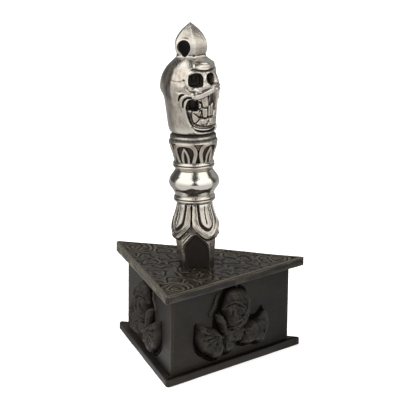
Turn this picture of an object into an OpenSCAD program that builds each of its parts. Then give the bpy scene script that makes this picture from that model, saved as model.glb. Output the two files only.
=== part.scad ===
// Phurba, a three-edged ritual dagger, standing point down in its carved triangular stand.
// Millimetres, +Z up. The origin is the middle of the stand's foot; the nearest corner points to -Y.
// Angles are seen from above: 0 faces -Y, and they grow towards +X.

/* [Stand] */
// Side of the carved top plate, between its unrounded corners
top_side = 102.2; // [98:0.2:112]
// Thickness of the top plate
top_t = 4.3; // [3:0.1:8]
// Side of the base plate, between its unrounded corners
base_side = 99.4; // [94:0.2:112]
// Thickness of the base plate
base_t = 3.9; // [3:0.1:8]
// Radius of the plates' worn corners
plate_corner_r = 1.3; // [0.6:0.1:3]
// Side of the box that the three wall boards make
box_side = 86; // [76:0.5:92]
// Height of the wall boards
wall_h = 39; // [32:0.5:48]
// Thickness of the wall boards
wall_t = 5; // [4:0.5:7]
// How far each board's end wraps round its corner onto the next face
seam_in = 1.1; // [0.5:0.1:2]
// Length of a glue block's sides along the two walls of its corner
glue_side = 13; // [8:0.5:18]
// Height of the glue blocks
glue_h = 30; // [16:1:31]
// Radius of the base plate's panel pins
pin_r = 0.8; // [0.5:0.1:1.2]
// Length of a panel pin
pin_l = 16; // [10:0.5:20]
// Radius of a panel pin's head
pin_head_r = 1.6; // [1.4:0.1:2]
// Height of a panel pin's head
pin_head_h = 1; // [0.6:0.1:1.6]
// How far a pin's head is sunk below the foot
pin_sink = 0.4; // [0.2:0.1:0.8]
// Distance of a wall's two pins from the wall's middle
pin_x = 24; // [14:0.5:26]

/* [Carving] */
// Plain border left round the carved field of the top plate
border_w = 4.2; // [3:0.1:8]
// Depth of the carved grooves
carve_d = 0.7; // [0.4:0.1:1.2]
// Width of the carved grooves
carve_w = 1.1; // [0.7:0.1:1.6]
// Outer radius of a carved scroll
scroll_r = 4.6; // [3.5:0.1:5.5]
// Distance between the rows of scrolls
scroll_pitch = 11.4; // [10:0.1:14]

/* [Wall relief] */
// Width of the mask's head
mask_w = 19; // [15:0.5:22]
// Height of the mask's head
mask_h = 25; // [20:0.5:28]
// How far the mask's brow stands out from the wall
mask_out = 6.6; // [5:0.1:8]
// Distance of the two shell scrolls from the middle of the wall
shell_x = 14.5; // [12:0.5:17]
// Radius of a shell scroll
shell_r = 9; // [7:0.5:10]
// How far the shell scrolls stand out from the wall
shell_out = 4.8; // [3.5:0.1:6]

/* [Blade] */
// Height of the blade's tip above the table
tip_z = 9.4; // [8.6:0.1:12]
// Length of the blade with its root
blade_l = 56.6; // [54:0.1:60]
// Distance from the axis to the blade's face at the tip, half the thickness of its blunt point
tip_in = 0.35; // [0.3:0.05:0.6]
// Distance from the axis to the wide faces of the six-sided root
root_wide = 8.2; // [7.6:0.1:8.6]
// Distance from the axis to the narrow faces of the root, at the root's top
root_edge = 9.6; // [9:0.1:9.8]
// Slope of the narrow faces, in degrees
edge_slope = 3.1; // [2:0.1:4]
// How far the pointed top of the ground faces lies below the top of the root
ogive_drop = 2.6; // [2.2:0.1:5]
// Height of the pointed arch on the ground faces
ogive_h = 8.4; // [6:0.1:10]
// Half width of the pointed arch
ogive_w = 5.7; // [5:0.1:6]
// Radius of the hollow grinding of the wide faces
hollow_r = 60; // [50:1:90]
// Depth of the line that frames the pointed arch
arch_line_d = 0.3; // [0.2:0.05:0.5]
// Width of that line
arch_line_w = 0.9; // [0.6:0.1:1.2]
// Turn of the blade's wide face from the skull's nose
blade_turn = -27; // [-40:1:40]

/* [Tang] */
// Radius of the rod that the handle's sections are threaded on
tang_r = 2; // [1.6:0.1:2.4]
// Clearance between the rod and the sections, on the radius
tang_fit = 0.12; // [0.08:0.01:0.2]
// Clearance between the rod and the two threaded ends, on the radius
thread_fit = 0.03; // [0.02:0.01:0.06]
// Length of the rod's thread in the blade's root
tang_in_blade = 10; // [6:0.5:14]
// Length of the rod's thread in the finial's spigot
tang_in_finial = 7; // [4:0.5:7]
// Gap at each end of the rod
tang_end_gap = 0.25; // [0.1:0.05:0.5]

/* [Handle] */
// Height of the lower lotus, from its petals' ends to its neck
lotus_h = 18.4; // [17.6:0.1:19]
// How far the blade's root reaches into the lower lotus
root_in_lotus = 4.2; // [3.6:0.1:4.4]
// Height of the lower ring
lower_ring_h = 4.2; // [3.8:0.1:5]
// Height of the knob
knob_h = 12.9; // [12:0.1:14]
// Height of the upper ring
upper_ring_h = 4.5; // [3.8:0.1:5]
// Height of the upper lotus
cup_h = 10.9; // [10.4:0.1:12]
// Height of the collar
collar_h = 3.5; // [3.1:0.1:4]
// Height of the head
head_h = 38; // [37.6:0.1:39]
// Height of the finial
finial_h = 17; // [15.5:0.1:20]
// Radius of the knob at its belt
knob_r = 12.5; // [11.5:0.1:13.5]
// Radius of the two bead rings
bead_r = 10.5; // [10:0.1:11]
// Radius of the lower lotus where it swells
lotus_r = 12.65; // [12.3:0.05:13]
// Radius of the upper lotus's rim
cup_r = 12.3; // [11.8:0.05:12.8]
// Radius of the lower lotus's neck
lotus_neck_r = 8.9; // [8.4:0.1:9.4]
// Radius of the collar's foot
collar_r = 11.9; // [11.4:0.1:12.2]
// Width of the lines cut between and along the petals
groove_w = 0.7; // [0.4:0.1:1]
// Depth of the hollows between the petals' raised bands
petal_d = 0.8; // [0.5:0.05:1]
// Number of petals round the upper lotus
upper_petals = 5; // [4:1:5]
// Turn of the upper lotus's petals from the skull's nose
upper_petal_turn = 22; // [0:1:72]
// Number of petals round the lower lotus
lower_petals = 4; // [3:1:4]
// Turn of the lower lotus's petals from the skull's nose
lower_petal_turn = 8; // [0:1:90]
// Clearance round the blade's root inside the lower lotus
root_fit = 0.25; // [0.15:0.05:0.4]

/* [Skull head] */
// Radius of the face at the cheekbones
skull_r = 14.3; // [13.8:0.1:14.8]
// Radius of the round cranium
cranium_r = 14.9; // [14.2:0.1:15.2]
// How far the cranium bulges backwards
cranium_back = 2.2; // [1:0.1:3]
// Radius of the balls that end the rolls of the face, for a roll of radius 1
roll_end = 1.08; // [1.04:0.01:1.2]
// Height of the middle of the eye sockets above the head's foot
eye_up = 28.3; // [27.6:0.1:29.6]
// Turn of each eye socket from the nose
eye_turn = 18; // [17:0.5:22]
// Half width of an eye socket
eye_w = 3.8; // [3:0.1:4]
// Half height of an eye socket
eye_h = 3.3; // [2.6:0.1:3.6]
// Distance from the axis to the bottom of the eye sockets
eye_floor = 7.6; // [6.8:0.1:9]
// Distance from the axis to the back of the mouth
mouth_floor = 6.4; // [5:0.1:8]
// Half angle of the open mouth
mouth_turn = 40; // [32:1:44]
// Height of the bottom of the mouth above the head's foot
mouth_up = 2.8; // [2.6:0.1:4]
// Height of the open mouth
mouth_h = 15.8; // [14:0.1:16.4]
// Radius of the lower teeth's outer face
teeth_r = 12; // [11:0.1:12.4]
// Height of the front teeth above the bottom of the mouth
teeth_h = 6.4; // [5:0.1:7.4]
// Height of the fangs above the bottom of the mouth
fang_h = 9.8; // [8:0.1:11]
// Height of the upper lip above the mouth
lip_up = 2.8; // [2.2:0.1:3.4]
// Slant of the upper lip, in degrees
lip_tilt = 12; // [0:1:16]

/* [Finial] */
// Distance from the axis to the bud's six sides at its widest
bud_r = 7.95; // [7.5:0.05:8.5]
// Height of the widest part of the bud above the bud's foot
bud_up = 6; // [5.2:0.1:6.6]
// Radius of the cord hole
cord_r = 3.4; // [2.8:0.1:3.6]
// Height of the cord hole's middle above the bud's foot
cord_up = 5.5; // [5.2:0.1:6]
// Half angle of the drop's point below the cord hole, in degrees
drop_angle = 47; // [46:1:55]
// Turn of the bud's sides from the skull's nose
bud_turn = 5; // [-30:1:30]
// Radius of the finial's spigot in the head
spigot_r = 3.6; // [3.3:0.1:4.2]
// Length of the spigot
spigot_l = 8; // [5:0.5:9]
// Clearance round the spigot and below it
spigot_fit = 0.15; // [0.1:0.05:0.25]

/* [Seat] */
// How far the pocket for the tip lies off the middle of the stand, which makes the dagger lean
pocket_shift = 1.3; // [0.6:0.1:1.8]
// Direction of the dagger's lean
lean_turn = -76; // [-180:1:180]
// Turn of the skull's nose in the stand
nose_turn = 41; // [-180:1:180]
// Clearance round the blade in the top plate's hole
hole_fit = 0.45; // [0.35:0.05:0.8]
// Clearance round the blade's tip in its pocket
pocket_fit = 0.45; // [0.3:0.05:0.8]
// Gap under the blade's tip
seat_gap = 0.3; // [0.2:0.05:0.5]
// Radius of the block under the tip
block_r = 9; // [7:0.5:12]
// Height of the block under the tip
block_h = 11; // [9:0.5:14]

/* [Hidden] */

metal = "#a9a29b";
worn_metal = "#8a837c";
wood = "#2e2a27";
carved_wood = "#39342f";
inner_wood = "#6b4f35";
iron = "#5b5a58";

far = 200;
top_z = base_t + wall_h;
stand_h = top_z + top_t;
lean = atan(pocket_shift / (stand_h - tip_z));
// Heights along the dagger's axis, from the table up
root_top = tip_z + blade_l;
ogive_z = root_top - ogive_drop;
lotus_low = root_top - root_in_lotus;
lower_lotus_top = lotus_low + lotus_h;
lower_ring_top = lower_lotus_top + lower_ring_h;
knob_top = lower_ring_top + knob_h;
upper_ring_top = knob_top + upper_ring_h;
upper_lotus_top = upper_ring_top + cup_h;
collar_top = upper_lotus_top + collar_h;
head_top = collar_top + head_h;
finial_tip = head_top + finial_h;
eye_z = collar_top + eye_up;
mouth_low = collar_top + mouth_up;
mouth_high = mouth_low + mouth_h;
teeth_z = mouth_low + teeth_h;
fang_z = mouth_low + fang_h;
lip_z = mouth_high + lip_up;
bud_z = head_top + bud_up;
cord_z = head_top + cord_up;
box_in = box_side / (2 * sqrt(3));
inner_side = box_side - 2 * sqrt(3) * wall_t;
left_wall = -60;
right_wall = 60;
back_wall = 180;
hollow_slope = (root_wide - tip_in) / (ogive_z - tip_z);
spigot_end = head_top - spigot_l;
tang_low = root_top - tang_in_blade + tang_end_gap;
tang_high = spigot_end + tang_in_finial;
// Radius of the blade's root at its six corners
root_corner = norm([edge_in(root_top), (root_wide - edge_in(root_top) / 2) * 2 / sqrt(3)]);

// Distance from the axis to the deepest line of a ground face, at a height
function face_in(z) = tip_in + (z - tip_z) * hollow_slope;
// Distance from the axis to a narrow face of the blade, at a height
function edge_in(z) = root_edge - (root_top - z) * tan(edge_slope);
// Half the width of a ground face where it meets the narrow faces
function face_half(z) = (edge_in(z) - face_in(z) / 2) * 2 / sqrt(3);
// Distance from the axis to a ground face's outer edges
function face_out(z) = face_in(z) + pow(face_half(z), 2) / (2 * hollow_r);
// Points of a quadratic curve from a to c, pulled towards b
function bow(a, b, c, steps = 6) =
    [for (i = [0:steps]) let (t = i / steps) a * pow(1 - t, 2) + b * 2 * t * (1 - t) + c * t * t];
// The same points, with the other half mirrored in x and walked backwards
function both_sides(points) =
    concat(points, [for (i = [len(points) - 1:-1:0]) [-points[i].x, points[i].y]]);
function at(points, i) = points[max(0, min(len(points) - 1, i))];
// A smooth curve through the control points, each stretch in that many steps
function through(points, steps = 3) = concat(
    [for (i = [0:len(points) - 2]) for (s = [0:steps - 1])
        let (t = s / steps, a = at(points, i - 1), b = at(points, i), c = at(points, i + 1), d = at(points, i + 2))
        0.5 * (2 * b + (c - a) * t + (2 * a - 5 * b + 4 * c - d) * t * t + (3 * b - a - 3 * c + d) * pow(t, 3))],
    [points[len(points) - 1]]);
// Triangle with its corners at 0, 120 and 240 degrees, each rounded
function round_triangle(side, r) =
    [for (k = [0:120:240]) for (a = [-60:15:60])
        (side / sqrt(3) - 2 * r) * [sin(k), -cos(k)] + r * [sin(k + a), -cos(k + a)]];

// Places
module toward(angle) rotate([0, 0, angle]) children();
// Stands a flat outline up to face -Y, as thick as it reaches from the axis outwards
module standing(reach) rotate([90, 0, 0]) linear_extrude(reach) children();
// Puts an outline of (distance, height) points in the plane that faces -Y, as a wide slab
module slab(points) rotate([90, 0, -90]) translate([0, 0, -far / 2]) linear_extrude(far) polygon(points);
// Leans the dagger's axis about the middle of the hole in the top plate
module leaning()
    translate([0, 0, stand_h])
        rotate(a = lean, v = [cos(lean_turn), sin(lean_turn), 0])
            translate([0, 0, -stand_h]) children();
module dagger() leaning() toward(nose_turn) children();
module tang_hole(low, high) translate([0, 0, low]) cylinder(h = high - low, r = tang_r + tang_fit, $fn = 48);
module spun(points) rotate_extrude($fn = 96) polygon(points);
module band(outline) spun(concat([[0, outline[0].y]], outline, [[0, outline[len(outline) - 1].y]]));

// Stand

module pin_places()
    for (wall = [left_wall, right_wall, back_wall]) toward(wall)
        for (x = [-pin_x, pin_x]) translate([x, -(box_in - wall_t / 2), 0]) children();

module pin(grow = 0) {
    translate([0, 0, pin_sink])
        cylinder(h = pin_l, r = pin_r + grow, $fn = 32);
    translate([0, 0, pin_sink])
        cylinder(h = pin_head_h, r = pin_head_r + grow, $fn = 32);
}

module base_pins() color(iron) pin_places() pin();

module base_plate() color(wood) difference() {
    linear_extrude(base_t) polygon(round_triangle(base_side, plate_corner_r));
    pin_places() {
        pin(thread_fit);
        translate([0, 0, -1]) cylinder(h = pin_sink + 1.01, r = pin_head_r + thread_fit, $fn = 32);
    }
}

// A wall board, facing -Y: its right end wraps the corner, its left end meets the next board's wrap
module wall_board() difference() {
    corner = [box_side / 2, -box_in];
    inner = [inner_side / 2, -(box_in - wall_t)];
    translate([0, 0, base_t])
        linear_extrude(wall_h)
            polygon([[-corner.x + seam_in, corner.y], corner, corner + seam_in * [-0.5, sqrt(3) / 2],
                     inner, [-inner.x, inner.y]]);
    for (x = [-pin_x, pin_x])
        translate([x, -(box_in - wall_t / 2), 0])
            cylinder(h = pin_sink + pin_l + seat_gap, r = pin_r + thread_fit, $fn = 32);
}

module wall_left() color(wood) toward(left_wall) wall_board();
module wall_right() color(wood) toward(right_wall) wall_board();
module wall_back() color(wood) toward(back_wall) wall_board();

// A block in each inner corner, glued to both walls and the base plate
module glue_blocks() color(inner_wood)
    for (corner = [0:120:240]) toward(corner)
        translate([0, -inner_side / sqrt(3), base_t])
            linear_extrude(glue_h)
                polygon([[0, 0], [glue_side / 2, glue_side * sqrt(3) / 2], [-glue_side / 2, glue_side * sqrt(3) / 2]]);

// One scroll: two arcs that wind in
module scroll(r) {
    difference() {
        circle(r, $fn = 40);
        circle(r - carve_w, $fn = 40);
        translate([0, -r]) square([2 * r, r]);
    }
    translate([-(r - carve_w) / 4, 0]) difference() {
        circle(r * 0.6, $fn = 32);
        circle(r * 0.6 - carve_w, $fn = 32);
        translate([-r, 0]) square([2 * r, r]);
    }
}

// Rows of scrolls that follow the triangle, turned to and fro
module scrollwork() {
    rows = floor((top_side / sqrt(3) * 1.5 - 3 * border_w) / scroll_pitch);
    for (row = [0:rows]) {
        y = top_side / (2 * sqrt(3)) - border_w - scroll_r - row * scroll_pitch * 0.87;
        half = (y + top_side / sqrt(3)) / sqrt(3) - border_w * 2;
        count = floor(2 * half / scroll_pitch);
        for (i = [0:count])
            translate([(i - count / 2) * scroll_pitch, y])
                rotate(90 * ((i + 2 * row) % 4)) scroll(scroll_r);
    }
}

// The six sides of the blade and of its hole: three wide ones and three narrow ones between them
module six_sides(wide, narrow)
    intersection_for (side = [0:120:240])
        rotate(side) intersection() {
            translate([-far / 2, -wide]) square(far);
            rotate(60) translate([-far / 2, -narrow]) square(far);
        }

module top_plate() color(carved_wood) difference() {
    translate([0, 0, top_z]) linear_extrude(top_t) polygon(round_triangle(top_side, plate_corner_r));
    translate([0, 0, top_z - 1])
        linear_extrude(top_t + 2)
            rotate(nose_turn + blade_turn)
                six_sides(face_out(stand_h) + hole_fit, edge_in(stand_h) + hole_fit);
    translate([0, 0, stand_h - carve_d])
        linear_extrude(carve_d + 1)
            difference() {
                intersection() {
                    scrollwork();
                    polygon(round_triangle(top_side - border_w * 2 * sqrt(3), plate_corner_r));
                }
                circle(root_edge + 2, $fn = 48);
            }
}

// A band of the relief between two places, given as [x, height, radius, how far it stands out]
module strap(from, to) hull() {
    for (p = [from, to])
        translate([p[0], 0, p[1]]) rotate([90, 0, 0]) cylinder(h = p[3] * 0.5, r = p[2], $fn = 18);
    for (p = [from, to])
        translate([p[0], -p[3] + p[2] * 0.5, p[1]]) sphere(p[2] * 0.5, $fn = 14);
}

// Mask with a domed brow and two shell scrolls, facing -Y, its back at y = 0
module relief_carving() {
    middle = top_z - mask_h / 2 - 0.6;
    shell_z = base_t + shell_r + 1.4;
    // Domed head
    hull() {
        translate([0, 0, middle + mask_h / 2 - mask_w / 2])
            rotate([90, 0, 0]) cylinder(h = 1.5, r = mask_w / 2, $fn = 36);
        translate([0, 0, middle - mask_h / 2 + mask_w * 0.36])
            rotate([90, 0, 0]) cylinder(h = 1.5, r = mask_w * 0.36, $fn = 36);
        translate([0, -mask_out + 5.4, middle + 4]) sphere(mask_w * 0.31, $fn = 28);
        translate([0, -mask_out + 3.4, middle - 4]) sphere(mask_w * 0.2, $fn = 24);
    }
    for (s = [-1, 1]) {
        // Brow, cheek and jaw
        strap([s * 1.2, middle + 3.4, 1.5, mask_out + 0.8], [s * 6.4, middle + 5.6, 1.5, mask_out - 1.6]);
        strap([s * 2.6, middle - 3.2, 2.2, mask_out + 0.4], [s * 5.4, middle - 1, 2, mask_out - 1.2]);
        strap([s * 2, middle - 8.2, 1.5, mask_out - 0.8], [s * 6, middle - 6, 1.6, mask_out - 2.4]);
        // Band that sweeps from the head down to the shell, and the shell with its ribs
        strap([s * 4.5, middle - 7, 4, shell_out + 0.6], [s * (shell_x - 2), shell_z + 4.4, 4.2, shell_out]);
        strap([s * 2.4, shell_z, 3.6, shell_out - 0.6], [s * (shell_x - 3), shell_z - 2.4, 4.4, shell_out + 0.3]);
        for (rib = [0:4]) {
            turn = -85 + rib * 39;
            strap([s * (shell_x - 2.6), shell_z, 4.2, shell_out + 0.4],
                  [s * (shell_x + (shell_r - 2.6) * cos(turn)), shell_z + (shell_r - 2.6) * sin(turn), 2.6,
                   shell_out - 1.2]);
        }
    }
    // Nose
    strap([0, middle + 2, 1.4, mask_out + 1.2], [0, middle - 3.6, 2, mask_out + 1.4]);
}

// The carving with its back cut flat, standing on the wall board's face
module relief() translate([0, -box_in, 0]) intersection() {
    relief_carving();
    translate([-far / 2, -far, 0]) cube(far);
}

module relief_left() color(carved_wood) toward(left_wall) relief();
module relief_right() color(carved_wood) toward(right_wall) relief();
module relief_back() color(carved_wood) toward(back_wall) relief();

// Round block glued to the base plate, its pocket drilled along the leaning axis
module tip_block() color(inner_wood) difference() {
    translate([0, 0, base_t]) cylinder(h = block_h, r = block_r, $fn = 48);
    leaning() {
        low = tip_z - seat_gap;
        high = base_t + block_h + 2;
        translate([0, 0, low])
            cylinder(h = high - low, r1 = 2 * tip_in + pocket_fit, r2 = 2 * face_in(high) + pocket_fit, $fn = 48);
    }
}

// Dagger

// Outline of the pointed arch and of the whole face below it, as (x, height), grown by a rim
function ogive(grow = 0) = both_sides(concat(
    bow([0.01, ogive_z + grow * 1.3], [ogive_w * 0.62 + grow, ogive_z - ogive_h * 0.36],
        [ogive_w + grow, ogive_z - ogive_h]),
    [[ogive_w + 4, ogive_z - ogive_h - 4], [ogive_w + 4, 0]]));

// What is ground away from a wide face: a large cylinder laid along the face's deepest line
module ground_face() {
    intersection() {
        translate([0, -face_in(0), 0])
            rotate([atan(hollow_slope), 0, 0])
                translate([0, -hollow_r, -5]) cylinder(h = 90, r = hollow_r, $fn = 180);
        standing(40) polygon(ogive());
    }
    translate([0, arch_line_d - root_wide, 0])
        standing(40) polygon(ogive(arch_line_w));
}

module blade() color(worn_metal) dagger() toward(blade_turn) difference() {
    intersection_for (side = [0:120:240]) toward(side) intersection() {
        slab([[-far / 2, tip_z], [root_wide, tip_z], [root_wide, root_top], [-far / 2, root_top]]);
        toward(60)
            slab([[-far / 2, tip_z], [edge_in(tip_z), tip_z], [edge_in(root_top), root_top], [-far / 2, root_top]]);
    }
    for (side = [0:120:240]) toward(side) ground_face();
    translate([0, 0, root_top - tang_in_blade])
        cylinder(h = tang_in_blade + 1, r = tang_r + thread_fit, $fn = 48);
}

module tang() color(iron) dagger()
    translate([0, 0, tang_low]) cylinder(h = tang_high - tang_low, r = tang_r, $fn = 48);

// The lower lotus's outer wall from its neck down, as (radius, height), grown outwards
function bell(grow) = through([
    [lotus_neck_r + grow, lower_lotus_top], [lotus_neck_r + 0.8 + grow, lower_lotus_top - 3],
    [lotus_r - 1.1 + grow, lower_lotus_top - 8.7], [lotus_r + grow, lower_lotus_top - 15],
    [lotus_r - 0.3 + grow, lower_lotus_top - 17.2], [lotus_r - 1.2 + grow, lower_lotus_top - lotus_h]], 2);

// A hanging petal, as (x, height): its outline, the inner edge of its raised band, and its tongue
function hanging(top_w, mid_w, low) = both_sides(concat(
    [[top_w, lower_lotus_top + 1]],
    bow([mid_w, lower_lotus_top - 6.2], [mid_w + 1, low - 0.2], [0.01, low], 7)));

module petals(turn, count)
    for (petal = [0:count - 1]) toward(turn + petal * 360 / count) standing(20) children();

module lower_lotus() color(metal) dagger() difference() {
    low = lotus_low;
    intersection() {
        union() {
            band(bell(-petal_d));
            difference() {
                intersection() {
                    band(bell(0));
                    petals(lower_petal_turn, lower_petals) {
                        difference() {
                            polygon(hanging(7, 9.4, low));
                            polygon(hanging(4.4, 5.6, low + 3));
                        }
                        difference() {
                            polygon(hanging(3.4, 4.5, low + 4.4));
                            for (x = [-1.4, 1.4])
                                translate([x - groove_w / 2, low + 9]) square([groove_w, lotus_h]);
                        }
                    }
                }
                petals(lower_petal_turn + 180 / lower_petals, lower_petals)
                    translate([-groove_w / 2, low]) square([groove_w, lotus_h + 1]);
            }
        }
        petals(lower_petal_turn, lower_petals) polygon(hanging(7, 9, low - 0.1));
    }
    translate([0, 0, low - 1]) cylinder(h = root_top - low + 1, r = root_corner + root_fit, $fn = 96);
    tang_hole(low, lower_lotus_top + 1);
}

// Bead ring with a line cut round its upper bevel
module bead_ring(low, high) difference() {
    band([[bead_r - 0.9, high], [bead_r - 0.1, high - 1.4], [bead_r - 0.4, high - 1.8], [bead_r, high - 2.2],
          [bead_r - 0.2, high - 2.9], [bead_r - 1, low + 0.6], [bead_r - 1.3, low]]);
    tang_hole(low - 1, high + 1);
}

module lower_ring() color(metal) dagger() bead_ring(lower_lotus_top, lower_ring_top);
module upper_ring() color(metal) dagger() bead_ring(knob_top, upper_ring_top);

module knob() color(metal) dagger() difference() {
    belt = (lower_ring_top + knob_top) / 2;
    band(through([
        [knob_r - 3.3, knob_top], [knob_r - 2, knob_top - 2], [knob_r - 0.6, knob_top - 4.1], [knob_r, belt],
        [knob_r - 0.5, belt - 1.9], [knob_r - 1.9, lower_ring_top + 2.5], [knob_r - 3.2, lower_ring_top]]));
    tang_hole(lower_ring_top - 1, knob_top + 1);
}

// The upper lotus's outer wall from its rim down, as (radius, height), grown outwards
function cup(grow) = through([
    [cup_r - 0.3 + grow, upper_lotus_top], [cup_r + grow, upper_lotus_top - 1],
    [cup_r - 0.8 + grow, upper_lotus_top - 4.6], [cup_r - 1.7 + grow, upper_lotus_top - 7.2],
    [cup_r - 2.7 + grow, upper_ring_top]], 2);

// An upright pointed petal, as (x, height)
function upright(low_w, mid_w, top) = both_sides(concat(
    bow([0.01, top], [mid_w * 0.94, top - 0.6], [mid_w, (top + upper_ring_top) / 2], 7),
    [[low_w, upper_ring_top - 1]]));

module upper_lotus() color(metal) dagger() difference() {
    petal_top = upper_lotus_top - 0.9;
    union() {
        band(cup(-petal_d));
        intersection() {
            band(cup(0));
            union() {
                translate([0, 0, petal_top]) cylinder(h = 2, r = 20, $fn = 48);
                petals(upper_petal_turn, upper_petals) {
                    difference() {
                        polygon(upright(5.7, 6.4, petal_top));
                        polygon(upright(4, 4.6, petal_top - 1.6));
                    }
                    difference() {
                        polygon(upright(2.3, 2.4, petal_top - 2.3));
                        polygon(upright(0.5, 0.7, petal_top - 5.2));
                    }
                }
            }
        }
    }
    tang_hole(upper_ring_top - 1, upper_lotus_top + 1);
}

module collar() color(worn_metal) dagger() difference() {
    band([[collar_r - 1.6, collar_top], [collar_r - 1, collar_top - 0.7], [collar_r - 0.7, collar_top - 1.4],
          [collar_r - 0.9, collar_top - 2.1], [collar_r, collar_top - 2.6], [collar_r, upper_lotus_top]]);
    tang_hole(upper_lotus_top - 1, collar_top + 1);
}

// Head

// A stretch of a ring between two angles; its child is an outline of (radius, height)
module arc(from, to) rotate([0, 0, from - 90]) rotate_extrude(angle = to - from, $fn = 96) children();

// A rounded roll that follows the skull between two angles, with ball ends
module roll(from, to, r, out, z, tilt = 0) translate([0, 0, z]) rotate([0, -tilt, 0]) {
    arc(from, to) translate([out, 0]) circle(r, $fn = 32);
    for (end = [from, to]) toward(end) translate([0, -out, 0]) sphere(r * roll_end, $fn = 32);
}

// The face's outer wall from its crown down, as (radius, height)
function skull() = through([
    [7.3, head_top], [skull_r - 4.9, head_top - 2], [skull_r - 2.7, head_top - 4.8],
    [skull_r - 1.1, head_top - 8.8], [skull_r - 0.1, head_top - 13.2], [skull_r, head_top - 17],
    [skull_r - 0.4, head_top - 21], [skull_r - 0.9, head_top - 25.2], [skull_r - 1.5, head_top - 31],
    [skull_r - 1.9, collar_top + 3.6], [skull_r - 2.5, collar_top + 1.3], [skull_r - 4, collar_top]], 2);

// A rounded square, as wide and high as given
function rounded_square(w, h) = [for (a = [0:15:345])
    [w * sign(cos(a)) * pow(abs(cos(a)), 0.55), h * sign(sin(a)) * pow(abs(sin(a)), 0.55)]];

module eye_socket()
    translate([0, -eye_floor, eye_z]) standing(20) polygon(rounded_square(eye_w, eye_h));

module mouth()
    arc(-mouth_turn, mouth_turn)
        polygon([[mouth_floor, mouth_low + 4], [mouth_floor + 3, mouth_low + 0.8], [20, mouth_low - 0.6],
                 [20, mouth_high + 0.4], [mouth_floor + 2.6, mouth_high], [mouth_floor, mouth_high - 4]]);

// Two curved lines behind each corner of the mouth
module cheek_lines() for (r = [3.2, 5.4])
    translate([0, 0.9 - skull_r, mouth_high - 2.6]) standing(20) intersection() {
        difference() {
            circle(r, $fn = 40);
            circle(r - 0.8, $fn = 40);
        }
        translate([-20, 0.4]) square(20);
    }

module lower_jaw() {
    // Gum, set back from the rim of the mouth all round
    arc(-31, 31)
        polygon([[mouth_floor - 1, mouth_low + 3], [mouth_floor + 3, mouth_low + 1.9],
                 [teeth_r - 0.6, mouth_low + 1.6], [teeth_r, mouth_low + 2.6], [teeth_r - 0.2, mouth_low + 3.6],
                 [teeth_r - 2.4, mouth_low + 4.6], [mouth_floor - 1, mouth_low + 5]]);
    // Front teeth
    for (a = [-13.5, -4.5, 4.5, 13.5])
        arc(a - 4, a + 4)
            polygon([[teeth_r - 2.2, mouth_low + 2.4], [teeth_r - 0.1, mouth_low + 2.4], [teeth_r + 0.1, teeth_z - 1],
                     [teeth_r - 0.4, teeth_z], [teeth_r - 1.6, teeth_z]]);
    // Fangs
    for (a = [-26, 26]) toward(a)
        translate([0, -(teeth_r - 1.5), mouth_low + 2.4])
            cylinder(h = fang_z - mouth_low - 2.4, r1 = 2.1, r2 = 0.3, $fn = 32);
}

// Tongue that curls up from the jaw to the lip
module tongue() {
    arc(-4, 9)
        polygon([[mouth_floor - 1, mouth_low + 4], [teeth_r - 1, mouth_low + 5.6], [teeth_r - 0.5, mouth_low + 8],
                 [teeth_r - 1.2, mouth_low + 11.2], [teeth_r - 0.4, mouth_low + 14.4],
                 [mouth_floor - 1, mouth_high + 0.6]]);
    toward(2.5) {
        for (part = [[7.2, 10.4], [12.8, 15.6]]) translate([0, -(teeth_r - 0.5), mouth_low]) {
            translate([0, 0, part[0]]) cylinder(h = part[1] - part[0], r = 1.7, $fn = 32);
            for (end = part) translate([0, 0, end]) sphere(1.7, $fn = 32);
        }
    }
}

module lips_and_brow() {
    // Upper lip, rising to the skull's left, and its thick end
    roll(-34, 34, 1.7, skull_r - 1, lip_z, lip_tilt);
    toward(-19) translate([0, 1.9 - skull_r, lip_z - 1.2]) sphere(2.9, $fn = 32);
    // Brow and forehead rolls
    roll(-33, 33, 1.3, skull_r - 1.9, eye_z + eye_h + 0.7);
    roll(-38, 38, 1.8, skull_r - 4, head_top - 2.7);
    // Nose and cheekbones
    translate([0, 1 - skull_r, eye_z - eye_h - 1.5]) sphere(1.9, $fn = 32);
    for (a = [-40, 40]) toward(a) translate([0, 1.8 - skull_r, eye_z - 3]) sphere(2.5, $fn = 32);
    // Rim of the lower jaw
    roll(-30, 30, 0.9, skull_r - 2.3, mouth_low - 0.9);
}

module head() color(metal) dagger() difference() {
    union() {
        difference() {
            union() {
                band(skull());
                toward(180) translate([0, -cranium_back, head_top - cranium_r - 0.1]) sphere(cranium_r, $fn = 96);
                lips_and_brow();
            }
            mouth();
            for (a = [-eye_turn, eye_turn]) toward(a) eye_socket();
            // Temple lines
            for (side = [-60, 60])
                arc(side - 14, side + 14) translate([skull_r - 0.8, eye_z - 0.6]) circle(0.6, $fn = 16);
            toward(-42) cheek_lines();
            mirror([1, 0, 0]) toward(-42) cheek_lines();
        }
        lower_jaw();
        tongue();
    }
    tang_hole(collar_top - 1, head_top + 1);
    translate([0, 0, spigot_end - spigot_fit])
        cylinder(h = spigot_l + 1, r = spigot_r + spigot_fit, $fn = 64);
}

// The bud's side, as (distance from the axis, height), from its foot up
function bud(grow = 0) = concat(
    [[7.2 + grow, head_top], [7.3 + grow, head_top + 1], [7 + grow, head_top + 1.4]],
    through([[bud_r - 0.7 + grow, head_top + 2.2], [bud_r - 0.15 + grow, bud_z - 2], [bud_r + grow, bud_z],
             [bud_r - 0.75 + grow, bud_z + 3], [bud_r - 3.5 + grow, bud_z + 7], [0.4 + grow, finial_tip]], 3));

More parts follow.
